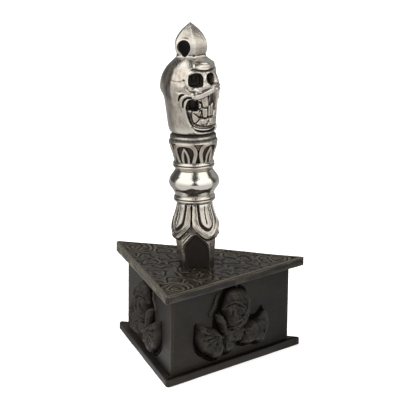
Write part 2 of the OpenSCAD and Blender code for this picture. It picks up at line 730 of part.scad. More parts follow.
module finial() color(metal) dagger() difference() {
    union() {
        toward(bud_turn) intersection() {
            intersection_for (side = [0:60:120]) toward(side) slab(both_sides(bud()));
            band([for (i = [len(bud(0.6)) - 1:-1:0]) bud(0.6)[i]]);
        }
        translate([0, 0, spigot_end]) cylinder(h = spigot_l + 1, r = spigot_r, $fn = 64);
    }
    // Cord hole: round, with a drop's point below it
    toward(bud_turn - 60) translate([0, 20, cord_z]) standing(40) {
        circle(cord_r, $fn = 64);
        polygon([[cord_r * cos(drop_angle), -cord_r * sin(drop_angle)], [0, 0],
                 [-cord_r * cos(drop_angle), -cord_r * sin(drop_angle)], [0, -cord_r / sin(90 - drop_angle)]]);
    }
    translate([0, 0, spigot_end - 1])
        cylinder(h = tang_high + tang_end_gap - spigot_end + 1, r = tang_r + thread_fit, $fn = 48);
}

base_plate();
wall_left();
wall_right();
wall_back();
relief_left();
relief_right();
relief_back();
glue_blocks();
base_pins();
tip_block();
top_plate();
blade();
tang();
lower_lotus();
lower_ring();
knob();
upper_ring();
upper_lotus();
collar();
head();
finial();
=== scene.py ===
"""Phurba on its carved triangular stand: the looks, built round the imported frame.

Shapes are worked out upright and in millimetres; a piece is put in its place, in metres, when it is finished.
Angles are in degrees from -Y, the side of the stand's nearest corner, and grow towards +X.
"""

import math

import bmesh
import bpy
import numpy as np
from bpy.props import FloatProperty, FloatVectorProperty, PointerProperty
from bpy.types import Operator, Panel, PropertyGroup
from mathutils import Matrix, Vector


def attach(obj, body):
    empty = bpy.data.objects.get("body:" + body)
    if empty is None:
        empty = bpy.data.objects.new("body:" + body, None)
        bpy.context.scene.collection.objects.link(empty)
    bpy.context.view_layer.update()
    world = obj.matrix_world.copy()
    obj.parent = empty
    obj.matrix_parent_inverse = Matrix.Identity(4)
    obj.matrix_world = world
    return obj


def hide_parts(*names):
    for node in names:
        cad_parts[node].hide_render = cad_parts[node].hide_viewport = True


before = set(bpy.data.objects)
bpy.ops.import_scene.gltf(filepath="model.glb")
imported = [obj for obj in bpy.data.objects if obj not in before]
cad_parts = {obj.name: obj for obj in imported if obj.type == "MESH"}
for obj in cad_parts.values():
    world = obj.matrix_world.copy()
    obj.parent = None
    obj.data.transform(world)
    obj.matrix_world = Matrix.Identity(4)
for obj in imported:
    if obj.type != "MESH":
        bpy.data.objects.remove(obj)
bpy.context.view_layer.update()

bl_info = {
    "name": "Phurba on its stand",
    "version": (1, 0, 0),
    "blender": (4, 5, 0),
    "location": "3D View > Sidebar > Phurba",
    "description": "Dresses the packed phurba: cast metal dagger, carved wooden stand, studio",
    "category": "Object",
}

MM = 0.001

# Places that the pieces share, in millimetres and degrees. The dagger leans about the middle of its hole in the
# stand's top, which takes its tip TIP_OFF to one side. The blade's turn is counted from the nose.
TIP, STAND_TOP, TIP_OFF = 9.4, 47.2, 1.3
LEAN = math.atan(TIP_OFF / (STAND_TOP - TIP))
LEAN_TURN, NOSE, BLADE_TURN = -76, 41, -27
CORNERS = (0, 120, 240)
BOX_SIDE, WALL_T, WALL_LOW, PLATE_LOW = 86, 5, 3.9, 42.9
BOX_IN = BOX_SIDE / math.sqrt(12)
ROOT_TOP, LOTUS_LOW = 66.0, 61.8
LOTUS_TOP, LOWER_RING_TOP, KNOB_TOP, UPPER_RING_TOP = 80.2, 84.4, 97.3, 101.8
CUP_TOP, COLLAR_TOP, HEAD_TOP, BUD_TIP = 112.7, 116.2, 154.2, 171.2
BORE = 2.12

# The photograph's camera: its turn round the object, its height and its tilt in degrees, its lens in mm. It aims at a
# height on the axis and from there so far to its right and up, all in mm.
VIEW, CAMERA_HIGH, CAMERA_TILT, LENS = 13.889, 14.45, -0.647, 177.93
AIM_HEIGHT, AIM_RIGHT, AIM_UP = 60, 1.509, 20.134

# The studio that the metal mirrors: brightness of its panels at these angles from the camera, towards the camera's
# right, where a word stands for the strength of that panel; behind the object is a pale room
PANEL_STOPS = (
    (-180, 0.22), (-148, 0.22), (-136, 0.04), (-100, 0.04), (-91, "left"), (-9, "left"),
    (15, "right"), (88, "right"), (98, 0.04), (108, 0.04), (124, 0.45), (180, 0.3),
)
# Light of the room itself, and the dark gap between the panels: its middle as a sine to the camera's right, the sine
# of the height at which it is narrowest, and how fast it widens above and below
ROOM, GAP_PLACE, GAP_WAIST, GAP_SPREAD = 0.07, 0.05, 0.55, 0.5
# The floor glows to the camera; the metal mirrors it as the panels' foot, dimmed, over an even brightness
FLOOR_GLOW, FLOOR_DIM, FLOOR_LIT = 0.5, 0.3, 0.47
# Soft lamps: degrees round from the camera and up, distance and width in metres, share of the lamps' power
LAMPS = {"left_lamp": (-112, 34, 1.0, 0.6, 6.5), "right_lamp": (60, 40, 1.0, 0.8, 0.2)}

UPRIGHT = Matrix.Identity(4)


def turned(angle):
    """Turn about the upright axis that brings -Y to that angle."""
    return Matrix.Rotation(math.radians(angle), 4, "Z")


# Brings a piece of the dagger, modelled upright with its nose to -Y, to its leaning place
LEAN_AXIS = Vector((math.cos(math.radians(LEAN_TURN)), math.sin(math.radians(LEAN_TURN)), 0))
DAGGER = (
    Matrix.Translation((0, 0, STAND_TOP))
    @ Matrix.Rotation(LEAN, 4, LEAN_AXIS)
    @ Matrix.Translation((0, 0, -STAND_TOP))
    @ turned(NOSE)
)


# Sizes and colours that a user would change


def length(name, description, mm):
    return FloatProperty(name=name, description=description, default=mm * MM, min=0, precision=5, unit="LENGTH")


def colour(name, description, hexadecimal):
    return FloatVectorProperty(
        name=name, description=description, default=linear(hexadecimal), size=4, min=0, max=1, subtype="COLOR"
    )


def linear(hexadecimal):
    """A hex colour as linear red, green, blue and an alpha of 1."""
    parts = [int(hexadecimal[i : i + 2], 16) / 255 for i in (1, 3, 5)]
    return tuple(c / 12.92 if c <= 0.04045 else ((c + 0.055) / 1.055) ** 2.4 for c in parts) + (1.0,)


class DaggerSizes(PropertyGroup):
    knob_r: length("Knob radius", "Radius of the grip knob at its belt", 12.7)
    bead_r: length("Ring radius", "Radius of the two bead rings", 10.5)
    cup_r: length("Cup radius", "Radius of the upper lotus at its rim", 12.3)
    lotus_r: length("Lotus radius", "Radius of the lower lotus where it swells", 12.95)
    bud_r: length("Bud radius", "Distance from the axis to the bud's six sides", 7.95)
    cord_r: length("Cord hole radius", "Radius of the cord hole through the bud", 3.55)


class StandSizes(PropertyGroup):
    top_side: length("Top side", "Side of the top plate between its unrounded corners", 102.2)
    base_side: length("Base side", "Side of the base plate between its unrounded corners", 99.4)
    coil_pitch: length("Coil pitch", "Distance between the carved coils of the top", 11.0)
    carve_d: length("Carving depth", "Depth of the carved grooves of the top", 1.0)


class Finishes(PropertyGroup):
    metal: colour("White metal", "Cast white metal where it is rubbed bright", "#d1ccc5")
    tarnish: colour("Tarnish", "Brown-grey film on the white metal", "#665846")
    # The patina colour also paints the shade marked on the metal pieces
    patina: colour("Patina", "Brown-black patina in the hollows of the metal", "#1a120b")
    wood: colour("Ebonised wood", "Black-brown stain of the stand", "#171412")
    wear: colour("Worn wood", "Wood where the stain is rubbed thin", "#4a4239")
    bare_wood: colour("Bare wood", "Unstained wood inside the stand", "#8a6a48")
    iron: colour("Iron", "Panel pins and the rod inside the handle", "#6a6866")


def strength(name, description, level, **unit):
    return FloatProperty(name=name, description=description, default=level, min=0, **unit)


class StudioSettings(PropertyGroup):
    left_panel: strength("Left panel", "Brightness of the white panel on the left", 1.9)
    right_panel: strength("Right panel", "Brightness of the white panel on the right", 1.9)
    lamps: strength("Lamps", "Power of the soft lamps before each one's own share", 1.5, unit="POWER")
    distance: length("Camera distance", "Distance from the camera to the middle of the object", 1000)


# Curves and distances


def through(points, steps=5):
    """Points of a smooth curve through the given ones, with that many steps in each stretch."""
    p = [np.array(q, float) for q in points]
    made = []
    for i in range(len(p) - 1):
        a, b, c, d = p[max(i - 1, 0)], p[i], p[i + 1], p[min(i + 2, len(p) - 1)]
        for t in np.arange(steps) / steps:
            cubic = (3 * b - a - 3 * c + d) * t**3
            made.append(0.5 * (2 * b + (c - a) * t + (2 * a - 5 * b + 4 * c - d) * t**2 + cubic))
    return made + [p[-1]]


def evenly(points, gap):
    """The smooth curve through the points, cut into equal steps of about that length."""
    line = np.array(through(points, 8))
    run = np.r_[0, np.cumsum(np.hypot(*np.diff(line, axis=0).T))]
    at = np.linspace(0, run[-1], max(2, round(run[-1] / gap) + 1))
    return list(zip(np.interp(at, run, line[:, 0]), np.interp(at, run, line[:, 1])))


def closed(outline):
    """The smooth closed curve through the points of an outline."""
    return through(list(outline) + [outline[0]])[:-1]


def away(line, x, y):
    """Distance of every place (x, y) from a line of points."""
    best = np.full(len(x), 1e9)
    for (ax, ay), (bx, by) in zip(line, line[1:]):
        dx, dy = bx - ax, by - ay
        t = np.clip(((x - ax) * dx + (y - ay) * dy) / max(dx * dx + dy * dy, 1e-12), 0, 1)
        best = np.minimum(best, np.hypot(x - ax - t * dx, y - ay - t * dy))
    return best


def within(outline, x, y):
    """How far every place lies inside a closed outline; outside it is negative."""
    line = list(outline) + [outline[0]]
    inside = np.zeros(len(x), bool)
    for (ax, ay), (bx, by) in zip(line, line[1:]):
        if ay != by:
            inside ^= ((ay > y) != (by > y)) & (x < (bx - ax) * (y - ay) / (by - ay) + ax)
    return away(line, x, y) * np.where(inside, 1, -1)


def ease(value, low, high):
    """0 below low, 1 above high, and a smooth rise between them."""
    t = np.clip((value - low) / (high - low), 0, 1)
    return t * t * (3 - 2 * t)


def bump(distance, width):
    """A soft mound: 1 in the middle, 0 from width on."""
    return np.clip(1 - (distance / width) ** 2, 0, 1) ** 2


def roll(distance, width):
    """A half-round bead: 1 in the middle, 0 from width on."""
    return np.sqrt(np.clip(1 - (distance / width) ** 2, 0, 1))


def unevenness(co, size, seed=0.0):
    """Slow hand-made waver between -1 and 1, for features of that size in millimetres."""
    k = 2 * math.pi / size
    x, y, z = co[:, 0] + seed, co[:, 1] - 1.7 * seed, co[:, 2] + 2.3 * seed
    return (
        np.sin(k * (x + 0.4 * y) + 1.3 * np.sin(k * 0.6 * z))
        + np.sin(k * (0.9 * y - 0.5 * z) + 1.1 * np.sin(k * 0.7 * x))
        + np.sin(k * (z + 0.3 * x) + 1.2 * np.sin(k * 0.5 * y))
    ) / 3


# Meshes


def places(bm):
    return np.array([v.co for v in bm.verts])


def put(bm, co):
    for v, p in zip(bm.verts, co):
        v.co = p


def spun(profile, *sectors):
    """A closed profile of (radius, height) spun round the axis, in sectors of (from, to, steps)."""
    bm = bmesh.new()
    start = math.radians(sectors[0][0])
    verts = [bm.verts.new((r * math.sin(start), -r * math.cos(start), z)) for r, z in profile]
    geom = verts + [bm.edges.new(pair) for pair in zip(verts, verts[1:] + verts[:1])]
    for low, high, steps in sectors:
        geom = bmesh.ops.spin(
            bm, geom=geom, cent=(0, 0, 0), axis=(0, 0, 1), angle=math.radians(high - low), steps=steps,
            use_merge=high - low == 360,
        )["geom_last"]
    bmesh.ops.remove_doubles(bm, verts=bm.verts, dist=1e-4)
    bmesh.ops.recalc_face_normals(bm, faces=bm.faces)
    return bm


def reshape(bm, move):
    """Moves the skin of a spun piece: move gets angles, heights and radii, and gives new heights and radii."""
    co = places(bm)
    turn = np.degrees(np.arctan2(co[:, 0], -co[:, 1]))
    z, r = move(turn, co[:, 2].copy(), np.hypot(co[:, 0], co[:, 1]))
    a = np.radians(turn)
    put(bm, np.stack([r * np.sin(a), -r * np.cos(a), z], 1))


def prism(outline, low, high):
    """An outline of (x, y) pulled up between two heights."""
    bm = bmesh.new()
    face = bm.faces.new([bm.verts.new((x, y, low)) for x, y in outline])
    raised = bmesh.ops.extrude_face_region(bm, geom=[face])["geom"]
    bmesh.ops.translate(bm, vec=(0, 0, high - low), verts=[g for g in raised if isinstance(g, bmesh.types.BMVert)])
    bmesh.ops.recalc_face_normals(bm, faces=bm.faces)
    return bm


def sharp_edges(bm, angle):
    return [e for e in bm.edges if e.is_manifold and math.degrees(e.calc_face_angle()) > angle]


def soften(bm, width, segments):
    """Rounds every sharp edge."""
    bmesh.ops.bevel(
        bm, geom=sharp_edges(bm, 30), offset=width, segments=segments, profile=0.5, affect="EDGES", material=-1,
        clamp_overlap=True,
    )


def framed(bm, width):
    """Gives every face of more than 80 mm2 a narrow frame, so that wear along its edge does not spread over it."""
    broad = [f for f in bm.faces if f.calc_area() > 80]
    bmesh.ops.inset_individual(bm, faces=broad, thickness=width, use_even_offset=True)


def linked(name, data):
    """An object of that data in the scene."""
    obj = bpy.data.objects.new(name, data)
    bpy.context.scene.collection.objects.link(obj)
    return obj


def as_object(bm, name):
    mesh = bpy.data.meshes.new(name)
    bm.to_mesh(mesh)
    bm.free()
    return linked(name, mesh)


def apply(obj, kind, **settings):
    """Applies one modifier to the object's mesh."""
    modifier = obj.modifiers.new("made", kind)
    for key, value in settings.items():
        setattr(modifier, key, value)
    bpy.context.view_layer.update()
    mesh = bpy.data.meshes.new_from_object(obj.evaluated_get(bpy.context.evaluated_depsgraph_get()))
    obj.modifiers.clear()
    obj.data = mesh


def cut(obj, tool):
    """Cuts a bmesh away from an object."""
    cutter = as_object(tool, "cutter")
    apply(obj, "BOOLEAN", operation="DIFFERENCE", solver="EXACT", object=cutter)
    bpy.data.objects.remove(cutter)


def mark_relief(mesh, scales, patina_and_shade=None):
    """Stores in "hollow" and "worn" how deep each point lies in the carving and how far it stands out.

    Each scale is (smoothing passes, depth in mm that counts as full). The last argument adds places that stay dark:
    patina on the metal, and painted shade where a piece marks it."""
    count = len(mesh.vertices)
    co, normal = np.empty(count * 3), np.empty(count * 3, np.float32)
    mesh.vertices.foreach_get("co", co)
    mesh.vertex_normals.foreach_get("vector", normal)
    co, normal = co.reshape(-1, 3), normal.reshape(-1, 3)
    ends = np.empty(len(mesh.edges) * 2, np.int32)
    mesh.edges.foreach_get("vertices", ends)
    a, b = ends.reshape(-1, 2).T
    shares = np.maximum(np.bincount(a, minlength=count) + np.bincount(b, minlength=count), 1)
    smooth, done = co.copy(), 0
    hollow, worn = np.zeros(count), np.zeros(count)
    for passes, full in scales:
        for _ in range(passes - done):
            total = [np.bincount(a, smooth[b, k], count) + np.bincount(b, smooth[a, k], count) for k in range(3)]
            smooth = np.stack(total, 1) / shares[:, None]
        done = passes
        depth = ((smooth - co) * normal).sum(1) / full
        hollow = np.maximum(hollow, np.clip(depth, 0, 1))
        worn = np.maximum(worn, np.clip(-depth, 0, 1))
    if patina_and_shade is not None:
        hollow = np.maximum(hollow, patina_and_shade(co) if callable(patina_and_shade) else patina_and_shade)
    for name, values in (("hollow", hollow), ("worn", worn)):
        mesh.attributes.new(name, "FLOAT", "POINT").data.foreach_set("value", values.astype(np.float32))


def finished(obj, place, material, body, nodes, scales, patina_and_shade=None):
    """Puts a piece modelled in millimetres in its place in metres, with its finish, on its body."""
    mark_relief(obj.data, scales, patina_and_shade)
    bm = bmesh.new()
    bm.from_mesh(obj.data)
    bm.transform(Matrix.Scale(MM, 4) @ place)
    for face in bm.faces:
        face.smooth = True
    for edge in sharp_edges(bm, 50):
        edge.smooth = False
    bm.to_mesh(obj.data)
    bm.free()
    obj.data.materials.clear()
    obj.data.materials.append(material)
    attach(obj, body)
    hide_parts(*nodes)


# Finishes


def feed(node, *inputs, **named):
    """Gives a node's open inputs, in order or by name, a value, another node or one of that node's outputs."""
    pairs = list(zip([socket for socket in node.inputs if socket.enabled], inputs))
    pairs += [(node.inputs[key.replace("_", " ")], value) for key, value in named.items()]
    for socket, value in pairs:
        if isinstance(value, bpy.types.Node):
            value = next(out for out in value.outputs if out.enabled)
        if isinstance(value, bpy.types.NodeSocket):
            node.id_data.links.new(value, socket)
        else:
            socket.default_value = value


def add(tree, kind, settings, *inputs, **named):
    """Adds a shader node with its settings, and with values or links for its inputs."""
    made = tree.nodes.new("ShaderNode" + kind)
    for key, value in settings.items():
        setattr(made, key, value)
    feed(made, *inputs, **named)
    return made


def new_material(name):
    """A material of that name, with its node tree and main shader unless it was made before."""
    found = bpy.data.materials.get(name)
    if found:
        return found, None, None
    made = bpy.data.materials.new(name)
    made.use_nodes = True
    return made, made.node_tree, made.node_tree.nodes["Principled BSDF"]


def per(mm):
    """Scale of a pattern whose features are about that large."""
    return 1 / (mm * MM)


PLUS, MINUS, TIMES, LARGER, SIZE = (
    {"operation": operation} for operation in ("ADD", "SUBTRACT", "MULTIPLY", "MAXIMUM", "ABSOLUTE")
)
SMOOTH, COLOURS = {"interpolation_type": "SMOOTHSTEP"}, {"data_type": "RGBA"}
HOLLOW, WORN = {"attribute_name": "hollow"}, {"attribute_name": "worn"}
DENTS, GRAIN = 0.0008, 0.0004  # height in m of a casting's dents and grain where its roughness is 1


def white_metal(name, rough, tone, tarnish, dirty=0.0):
    """White metal: grey-silver where it is rubbed, brown-grey tarnish in clouds, black-brown in every hollow."""
    made, tree, bsdf = new_material(name)
    if tree is None:
        return made
    looks = bpy.context.scene.phurba_finishes
    hollow, worn = (add(tree, "Attribute", kind).outputs["Fac"] for kind in (HOLLOW, WORN))
    place = add(tree, "TexCoord", {}).outputs["Object"]
    # Clouds of tarnish some 5 mm across, streaks along the handle, the fine skin of the casting, and shallow dents
    cloud = add(tree, "TexNoise", {}, place, per(5.0), 6.0, 0.7)
    streak = add(tree, "TexNoise", {}, add(tree, "Mapping", {}, place, Scale=(1.0, 1.0, 0.35)), per(1.1), 4.0, 0.6)
    skin = add(tree, "TexNoise", {}, place, per(0.45), 3.0, 0.65)
    dents = add(tree, "TexNoise", {}, place, per(1.7), 2.0, 0.5)
    # The film of tarnish, thin where the metal is rubbed
    film = add(tree, "Math", PLUS, add(tree, "Math", TIMES, cloud, 0.65), add(tree, "Math", TIMES, streak, 0.35))
    film = add(tree, "MapRange", SMOOTH, film, 0.4, 0.6, 0.15 * tarnish, tarnish)
    film = add(tree, "Math", TIMES, film, add(tree, "MapRange", SMOOTH, worn, 0.0, 0.6, 1.0, 0.25))
    # The patina, in the hollows and in the darkest streaks; the hollows also carry the painted shade that some pieces
    # mark
    dirt = add(tree, "Math", TIMES, add(tree, "Math", MINUS, streak, 0.5 - dirty), 0.5)
    dirt = add(tree, "Math", MINUS, add(tree, "Math", PLUS, hollow, dirt), add(tree, "Math", TIMES, worn, 0.4))
    dirt = add(tree, "MapRange", SMOOTH, dirt, 0.15, 0.75, 0.0, 1.0)
    bright = add(tree, "Mix", COLOURS, film, linear(tone), looks.tarnish)
    bright = add(tree, "Mix", COLOURS, add(tree, "MapRange", SMOOTH, worn, 0.15, 0.9, 0.0, 0.6), bright, looks.metal)
    dull = add(tree, "MapRange", SMOOTH, skin, 0.3, 0.7, rough - 0.05, rough + 0.09)
    dull = add(tree, "Math", PLUS, dull, add(tree, "Math", TIMES, film, 0.15))
    lumps = add(tree, "Bump", {}, Height=cloud, Strength=0.7, Distance=min(0.00026, rough * 0.0016))
    dented = add(tree, "Bump", {}, Height=dents, Strength=0.6, Distance=rough * DENTS, Normal=lumps)
    feed(
        bsdf,
        Base_Color=add(tree, "Mix", COLOURS, dirt, bright, looks.patina),
        Roughness=add(tree, "Math", PLUS, dull, add(tree, "Math", TIMES, dirt, 0.35)),
        Metallic=add(tree, "MapRange", SMOOTH, dirt, 0.5, 1.0, 1.0, 0.3),
        Normal=add(tree, "Bump", {}, Height=skin, Strength=0.4, Distance=rough * GRAIN, Normal=dented),
    )
    return made


def stained_wood(name, carved, warm=False):
    """Hardwood stained black-brown: satin, a faint grain, rubbed brown on its edges, and painted near black as shade in
    its carving.

    A warm board has been waxed: it is browner, glossier and rubbed more."""
    made, tree, bsdf = new_material(name)
    if tree is None:
        return made
    looks = bpy.context.scene.phurba_finishes
    stain, rubbed = (linear("#241f17"), linear("#655c4b")) if warm else (looks.wood, looks.wear)
    most_rubbed = 0.6 if warm else 0.32 if carved else 0.25
    smoothest, roughest, sheen = (0.24, 0.36, 0.4) if warm else (0.4, 0.52, 0.2)
    hollow, worn = (add(tree, "Attribute", kind).outputs["Fac"] for kind in (HOLLOW, WORN))
    place = add(tree, "TexCoord", {}).outputs["Object"]
    # Clouds of stain 14 mm across, pores 0.5 mm wide and some 8 mm long along the boards, and a fine tooth
    cloud = add(tree, "TexNoise", {}, place, per(14.0), 3.0, 0.55)
    pores = add(tree, "TexNoise", {}, add(tree, "Mapping", {}, place, Scale=(1.0, 1.0, 12.0)), per(7), 5.0, 0.6)
    fine = add(tree, "TexNoise", {}, place, per(0.8), 4.0, 0.65)
    rub = add(tree, "Math", TIMES, add(tree, "Math", MINUS, fine, 0.5), 0.7)
    rub = add(tree, "Math", PLUS, worn, rub)
    base = stain
    # Layers of colour; the last one is painted shade, near black in the hollows of the carving
    for amount, low, high, most, shade in (
        (cloud, 0.3, 0.7, 1.0, linear("#211c18")),
        (pores, 0.42, 0.6, 0.4, linear("#120f0d")),
        (rub, 0.15, 0.9, most_rubbed, rubbed),
        (hollow, 0.15, 0.8, 1.0, linear("#080605")),
    ):
        base = add(tree, "Mix", COLOURS, add(tree, "MapRange", SMOOTH, amount, low, high, 0.0, most), base, shade)
    waves = add(tree, "Bump", {}, Height=pores, Strength=0.5, Distance=0.00012)
    feed(
        bsdf,
        Base_Color=base,
        Roughness=add(tree, "MapRange", SMOOTH, fine, 0.3, 0.7, smoothest, roughest),
        # Painted shade: the hollows lose their sheen as well
        Specular_IOR_Level=add(tree, "MapRange", SMOOTH, hollow, 0.3, 0.9, sheen, 0.02),
        Normal=add(
            tree, "Bump", {}, Height=fine, Strength=0.5, Distance=0.0002 if carved else 0.00006, Normal=waves
        ),
    )
    return made


def bare_wood(name):
    """Plain softwood inside the stand: pale brown with darker growth rings 14 mm apart, sawn rough."""
    made, tree, bsdf = new_material(name)
    if tree is None:
        return made
    looks = bpy.context.scene.phurba_finishes
    place = add(tree, "TexCoord", {}).outputs["Object"]
    rings = add(tree, "TexWave", {"wave_type": "RINGS"}, place, per(14), 3.0, 3.0)
    fine = add(tree, "TexNoise", {}, place, per(0.6), 4.0)
    feed(
        bsdf,
        Base_Color=add(tree, "Mix", COLOURS, rings.outputs["Fac"], looks.bare_wood, linear("#6b4d31")),
        Roughness=add(tree, "MapRange", SMOOTH, fine, 0.3, 0.7, 0.6, 0.8),
        Normal=add(tree, "Bump", {}, Height=fine, Strength=0.4, Distance=0.0001),
    )
    return made


def plain_iron(name):
    """Drawn iron with a thin brown film of rust."""
    made, tree, bsdf = new_material(name)
    if tree is None:
        return made
    looks = bpy.context.scene.phurba_finishes
    rust = add(tree, "TexNoise", {}, add(tree, "TexCoord", {}).outputs["Object"], per(1.5), 5.0, 0.7)
    film = add(tree, "MapRange", SMOOTH, rust, 0.52, 0.66, 0.0, 1.0)
    feed(
        bsdf,
        Base_Color=add(tree, "Mix", COLOURS, film, looks.iron, linear("#4a3324")),
        Metallic=add(tree, "MapRange", SMOOTH, film, 0.0, 1.0, 1.0, 0.3),
        Roughness=add(tree, "MapRange", SMOOTH, rust, 0.3, 0.7, 0.3, 0.6),
    )
    return made


# Head

MIDDLE = 2.3  # the face's middle line, in degrees from the nose
ROUND = 13.6  # radius at which the face's angles become lengths
HEAD_SKIN = 6.5  # what lies further out than this is the head's skin, and the rest its bore


def head_mesh():
    """The skull: a spun face with a cranium bulging behind, then carved stroke by stroke."""
    outer = evenly(
        [(7.3, HEAD_TOP), (9.4, 152.2), (11.6, 149.4), (13.2, 145.4), (14.2, 141.0), (14.3, 137.2), (13.9, 133.2),
         (13.4, 129.0), (12.8, 123.2), (12.4, 119.8), (11.8, 117.5), (10.3, COLLAR_TOP)], 0.24)
    spigot = HEAD_TOP - 8.15
    bore = [(6, COLLAR_TOP), (BORE, COLLAR_TOP), (BORE, spigot), (3.75, spigot), (3.75, HEAD_TOP)]
    bm = spun(outer + bore, (-95, 95, 380), (95, 265, 60))
    patina_and_shade = []

    def move(turn, z, r):
        deep, dark = carving(turn, z)
        patina_and_shade.append(np.where(r > HEAD_SKIN, dark, 0))
        return z, np.where(r > HEAD_SKIN, skin_radius(turn, z, r) + deep, r)

    reshape(bm, move)
    return bm, patina_and_shade[0]


def skin_radius(turn, z, r):
    """The uncarved head: the spun face, or the round cranium where that stands out further."""
    ball, back, middle = 14.9, 2.2, 139.2  # the cranium's radius, its middle's way behind the axis and its height
    crisp = 1.6  # the larger it is, the sharper the fold between the face and the cranium
    toward = -back * np.cos(np.radians(turn))
    root = toward**2 - back**2 + ball**2 - (z - middle) ** 2
    cranium = toward + np.sqrt(np.clip(root, 0, None))
    cranium = np.where(z > middle, cranium, np.maximum(cranium * ease(z, 118, middle), 0))
    # The right cheek and jaw are a little flatter than the left ones
    flat = 1.0 * ease(turn, 30, 62) * (1 - ease(turn, 105, 150)) * ease(z, 117, 122) * (1 - ease(z, 144.5, 148))
    gap = cranium - r
    return r + np.log1p(np.exp(np.clip(gap * crisp, -30, 30))) / crisp * ease(z, 116.5, 119) - flat


def both_halves(rise, nearer=0.0):
    """Two functions of a stroke: as it is, and on the face's other half, so much higher and nearer the middle."""
    return (list, lambda line: [(2 * MIDDLE - nearer - a, h + rise) for a, h in line])


def carving(turn, z):
    """How far each place of the head is raised or sunk, and how dark it is: patina in its hollows, and painted shade on
    its far left side and round the bud's foot.
    """
    s = np.radians(turn) * ROUND
    h, patina_and_shade = np.zeros(len(s)), np.zeros(len(s))

    def flat(points):
        return [(math.radians(a) * ROUND, height) for a, height in points]

    def line(points):
        return away(flat(through(points)), s, z)

    def field(outline):
        return within(flat(closed(outline)), s, z)

    def spot(a, height, wide, tall):
        return np.hypot((s - math.radians(a) * ROUND) / wide, (z - height) / tall)

    def groove(points, wide, deep, dark=0.7):
        nonlocal h, patina_and_shade
        d = line(points)
        h = h - deep * bump(d, wide)
        patina_and_shade = np.maximum(patina_and_shade, dark * bump(d, wide * 1.1))

    def ridge(points, wide, high):
        nonlocal h
        h = h + high * roll(line(points), wide)

    # Big forms: temples, cheekbones, swelling forehead, jaw
    h -= 0.35 * bump(spot(-54, 146.4, 7.0, 4.5), 1) + 1.3 * bump(spot(58, 146.2, 5.0, 3.2), 1)
    h += 0.6 * bump(spot(-44, 141.2, 4.5, 3.0), 1) + 0.4 * bump(spot(48, 142.0, 4.0, 2.6), 1)
    h -= 0.5 * bump(spot(-50, 139.0, 3.4, 1.6), 1)
    h += 1.7 * bump(spot(MIDDLE + 24, 152.1, 13.0, 2.9), 1)
    h += 0.4 * bump(spot(MIDDLE, 148.4, 10.0, 1.8), 1)
    h -= 0.3 * bump(spot(-54, 129.5, 4.5, 6.0), 1)
    h += 0.25 * bump(spot(-64, 133.5, 5.0, 5.0), 1)
    h -= 0.35 * bump(spot(-36, 141.0, 2.0, 1.6), 1)

    # Painted shade: the far left side of the head from the jaw up to the cheekbone, and the crown round the bud's foot
    patina_and_shade = np.maximum(patina_and_shade, 0.7 * ease(-turn, 65, 79) * ease(z, 129, 139))
    patina_and_shade = np.maximum(patina_and_shade, 0.5 * ease(z, 152.6, 154.0))

    # Rolled lower edge of the forehead, the crease under it, the brow
    ridge([(-17, 151.2), (-5, 150.6), (12, 150.1), (30, 150.0), (46, 150.3), (58, 150.9)], 1.3, 0.6)
    groove([(-27, 149.6), (-18, 149.3), (-5, 148.7), (10, 148.5), (27, 148.6), (42, 149.1), (52, 149.8)],
           0.62, 0.6, 0.3)
    ridge([(-29, 148.9), (-18, 148.6), (-5, 148.0), (10, 147.7), (27, 147.8), (40, 148.2)], 0.55, 0.3)
    h += 0.4 * roll(spot(-28.5, 149.7, 0.8, 0.7), 1)

    # Upper lip, thick at its end, and the curls under the cheekbones
    lip = [(-22.5, 136.3), (-15, 136.3), (-7, 136.9), (8, 138.1), (25, 139.2), (43, 139.8)]
    lip_thick = 1.75
    h += 0.85 * ease(lip_thick - line(lip), 0, 0.9)
    h += 0.6 * bump(spot(-21.5, 136.9, 2.6, 2.0), 1)
    groove([(-7, 139.0), (9, 139.9), (24, 140.8), (40, 141.3)], 0.4, 0.22, 0.25)
    groove([(36, 141.6), (44, 141.9), (50, 141.2)], 0.4, 0.5, 0.7)
    for half in both_halves(1.2):
        groove(half([(-37, 140.8), (-33.5, 139.6), (-28, 138.9), (-21, 138.7)]), 0.5, 0.4, 0.3)
        groove(half([(-29, 140.9), (-22, 140.9), (-14, 140.2)]), 0.4, 0.3, 0.25)
        ridge(half([(-28, 139.9), (-22, 139.8), (-15, 139.2)]), 0.5, 0.35)

    # Lines at the temples, tear ducts, and the crescents behind the corners of the mouth
    for half in both_halves(0.6):
        groove(half([(-77, 144.2), (-65, 143.6), (-53, 143.7), (-44, 144.6)]), 0.45, 0.22, 0.15)
        groove(half([(-44.5, 144.6), (-43.3, 144.4)]), 0.5, 0.4, 0.4)
        ridge(half([(-40, 144.3), (-37.5, 142.9), (-34, 141.6)]), 0.5, 0.4)
    for half in both_halves(2.2, 7):
        ridge(half([(-51, 131.6), (-50, 134.2), (-46.2, 135.9), (-37.5, 136.9), (-31, 137.0)]), 0.75, 0.5)
        crescent = field(half([(-57.0, 134.4), (-55.8, 136.0), (-52, 137.4), (-46.5, 137.9), (-42, 137.6), (-46, 137.0),
                               (-50.5, 136.2), (-53.4, 135.0), (-55.2, 134.0)]))
        h = h - 1.7 * ease(crescent, -0.15, 0.35)
        patina_and_shade = np.maximum(patina_and_shade, ease(crescent, -0.2, 0.3))
        groove(half([(-46.9, 131.2), (-46, 132.8), (-43.6, 134.4), (-36.5, 135.9), (-29, 136.0)]), 0.6, 1.1, 0.75)
        ridge(half([(-43.6, 131.2), (-41.6, 133.6), (-34.5, 135.3)]), 0.5, 0.3)
    for a in (-60, -56.5, -53):
        groove([(a, 132.5), (a + 2.0, 130.2), (a + 3.0, 127.5)], 0.35, 0.12, 0.15)

    # Nose, narrow between the sockets and spread below them
    ridge([(MIDDLE, 147.4), (MIDDLE, 144.0)], 1.2, 0.45)
    h += 0.5 * bump(spot(MIDDLE + 1, 141.4, 3.4, 2.2), 1)

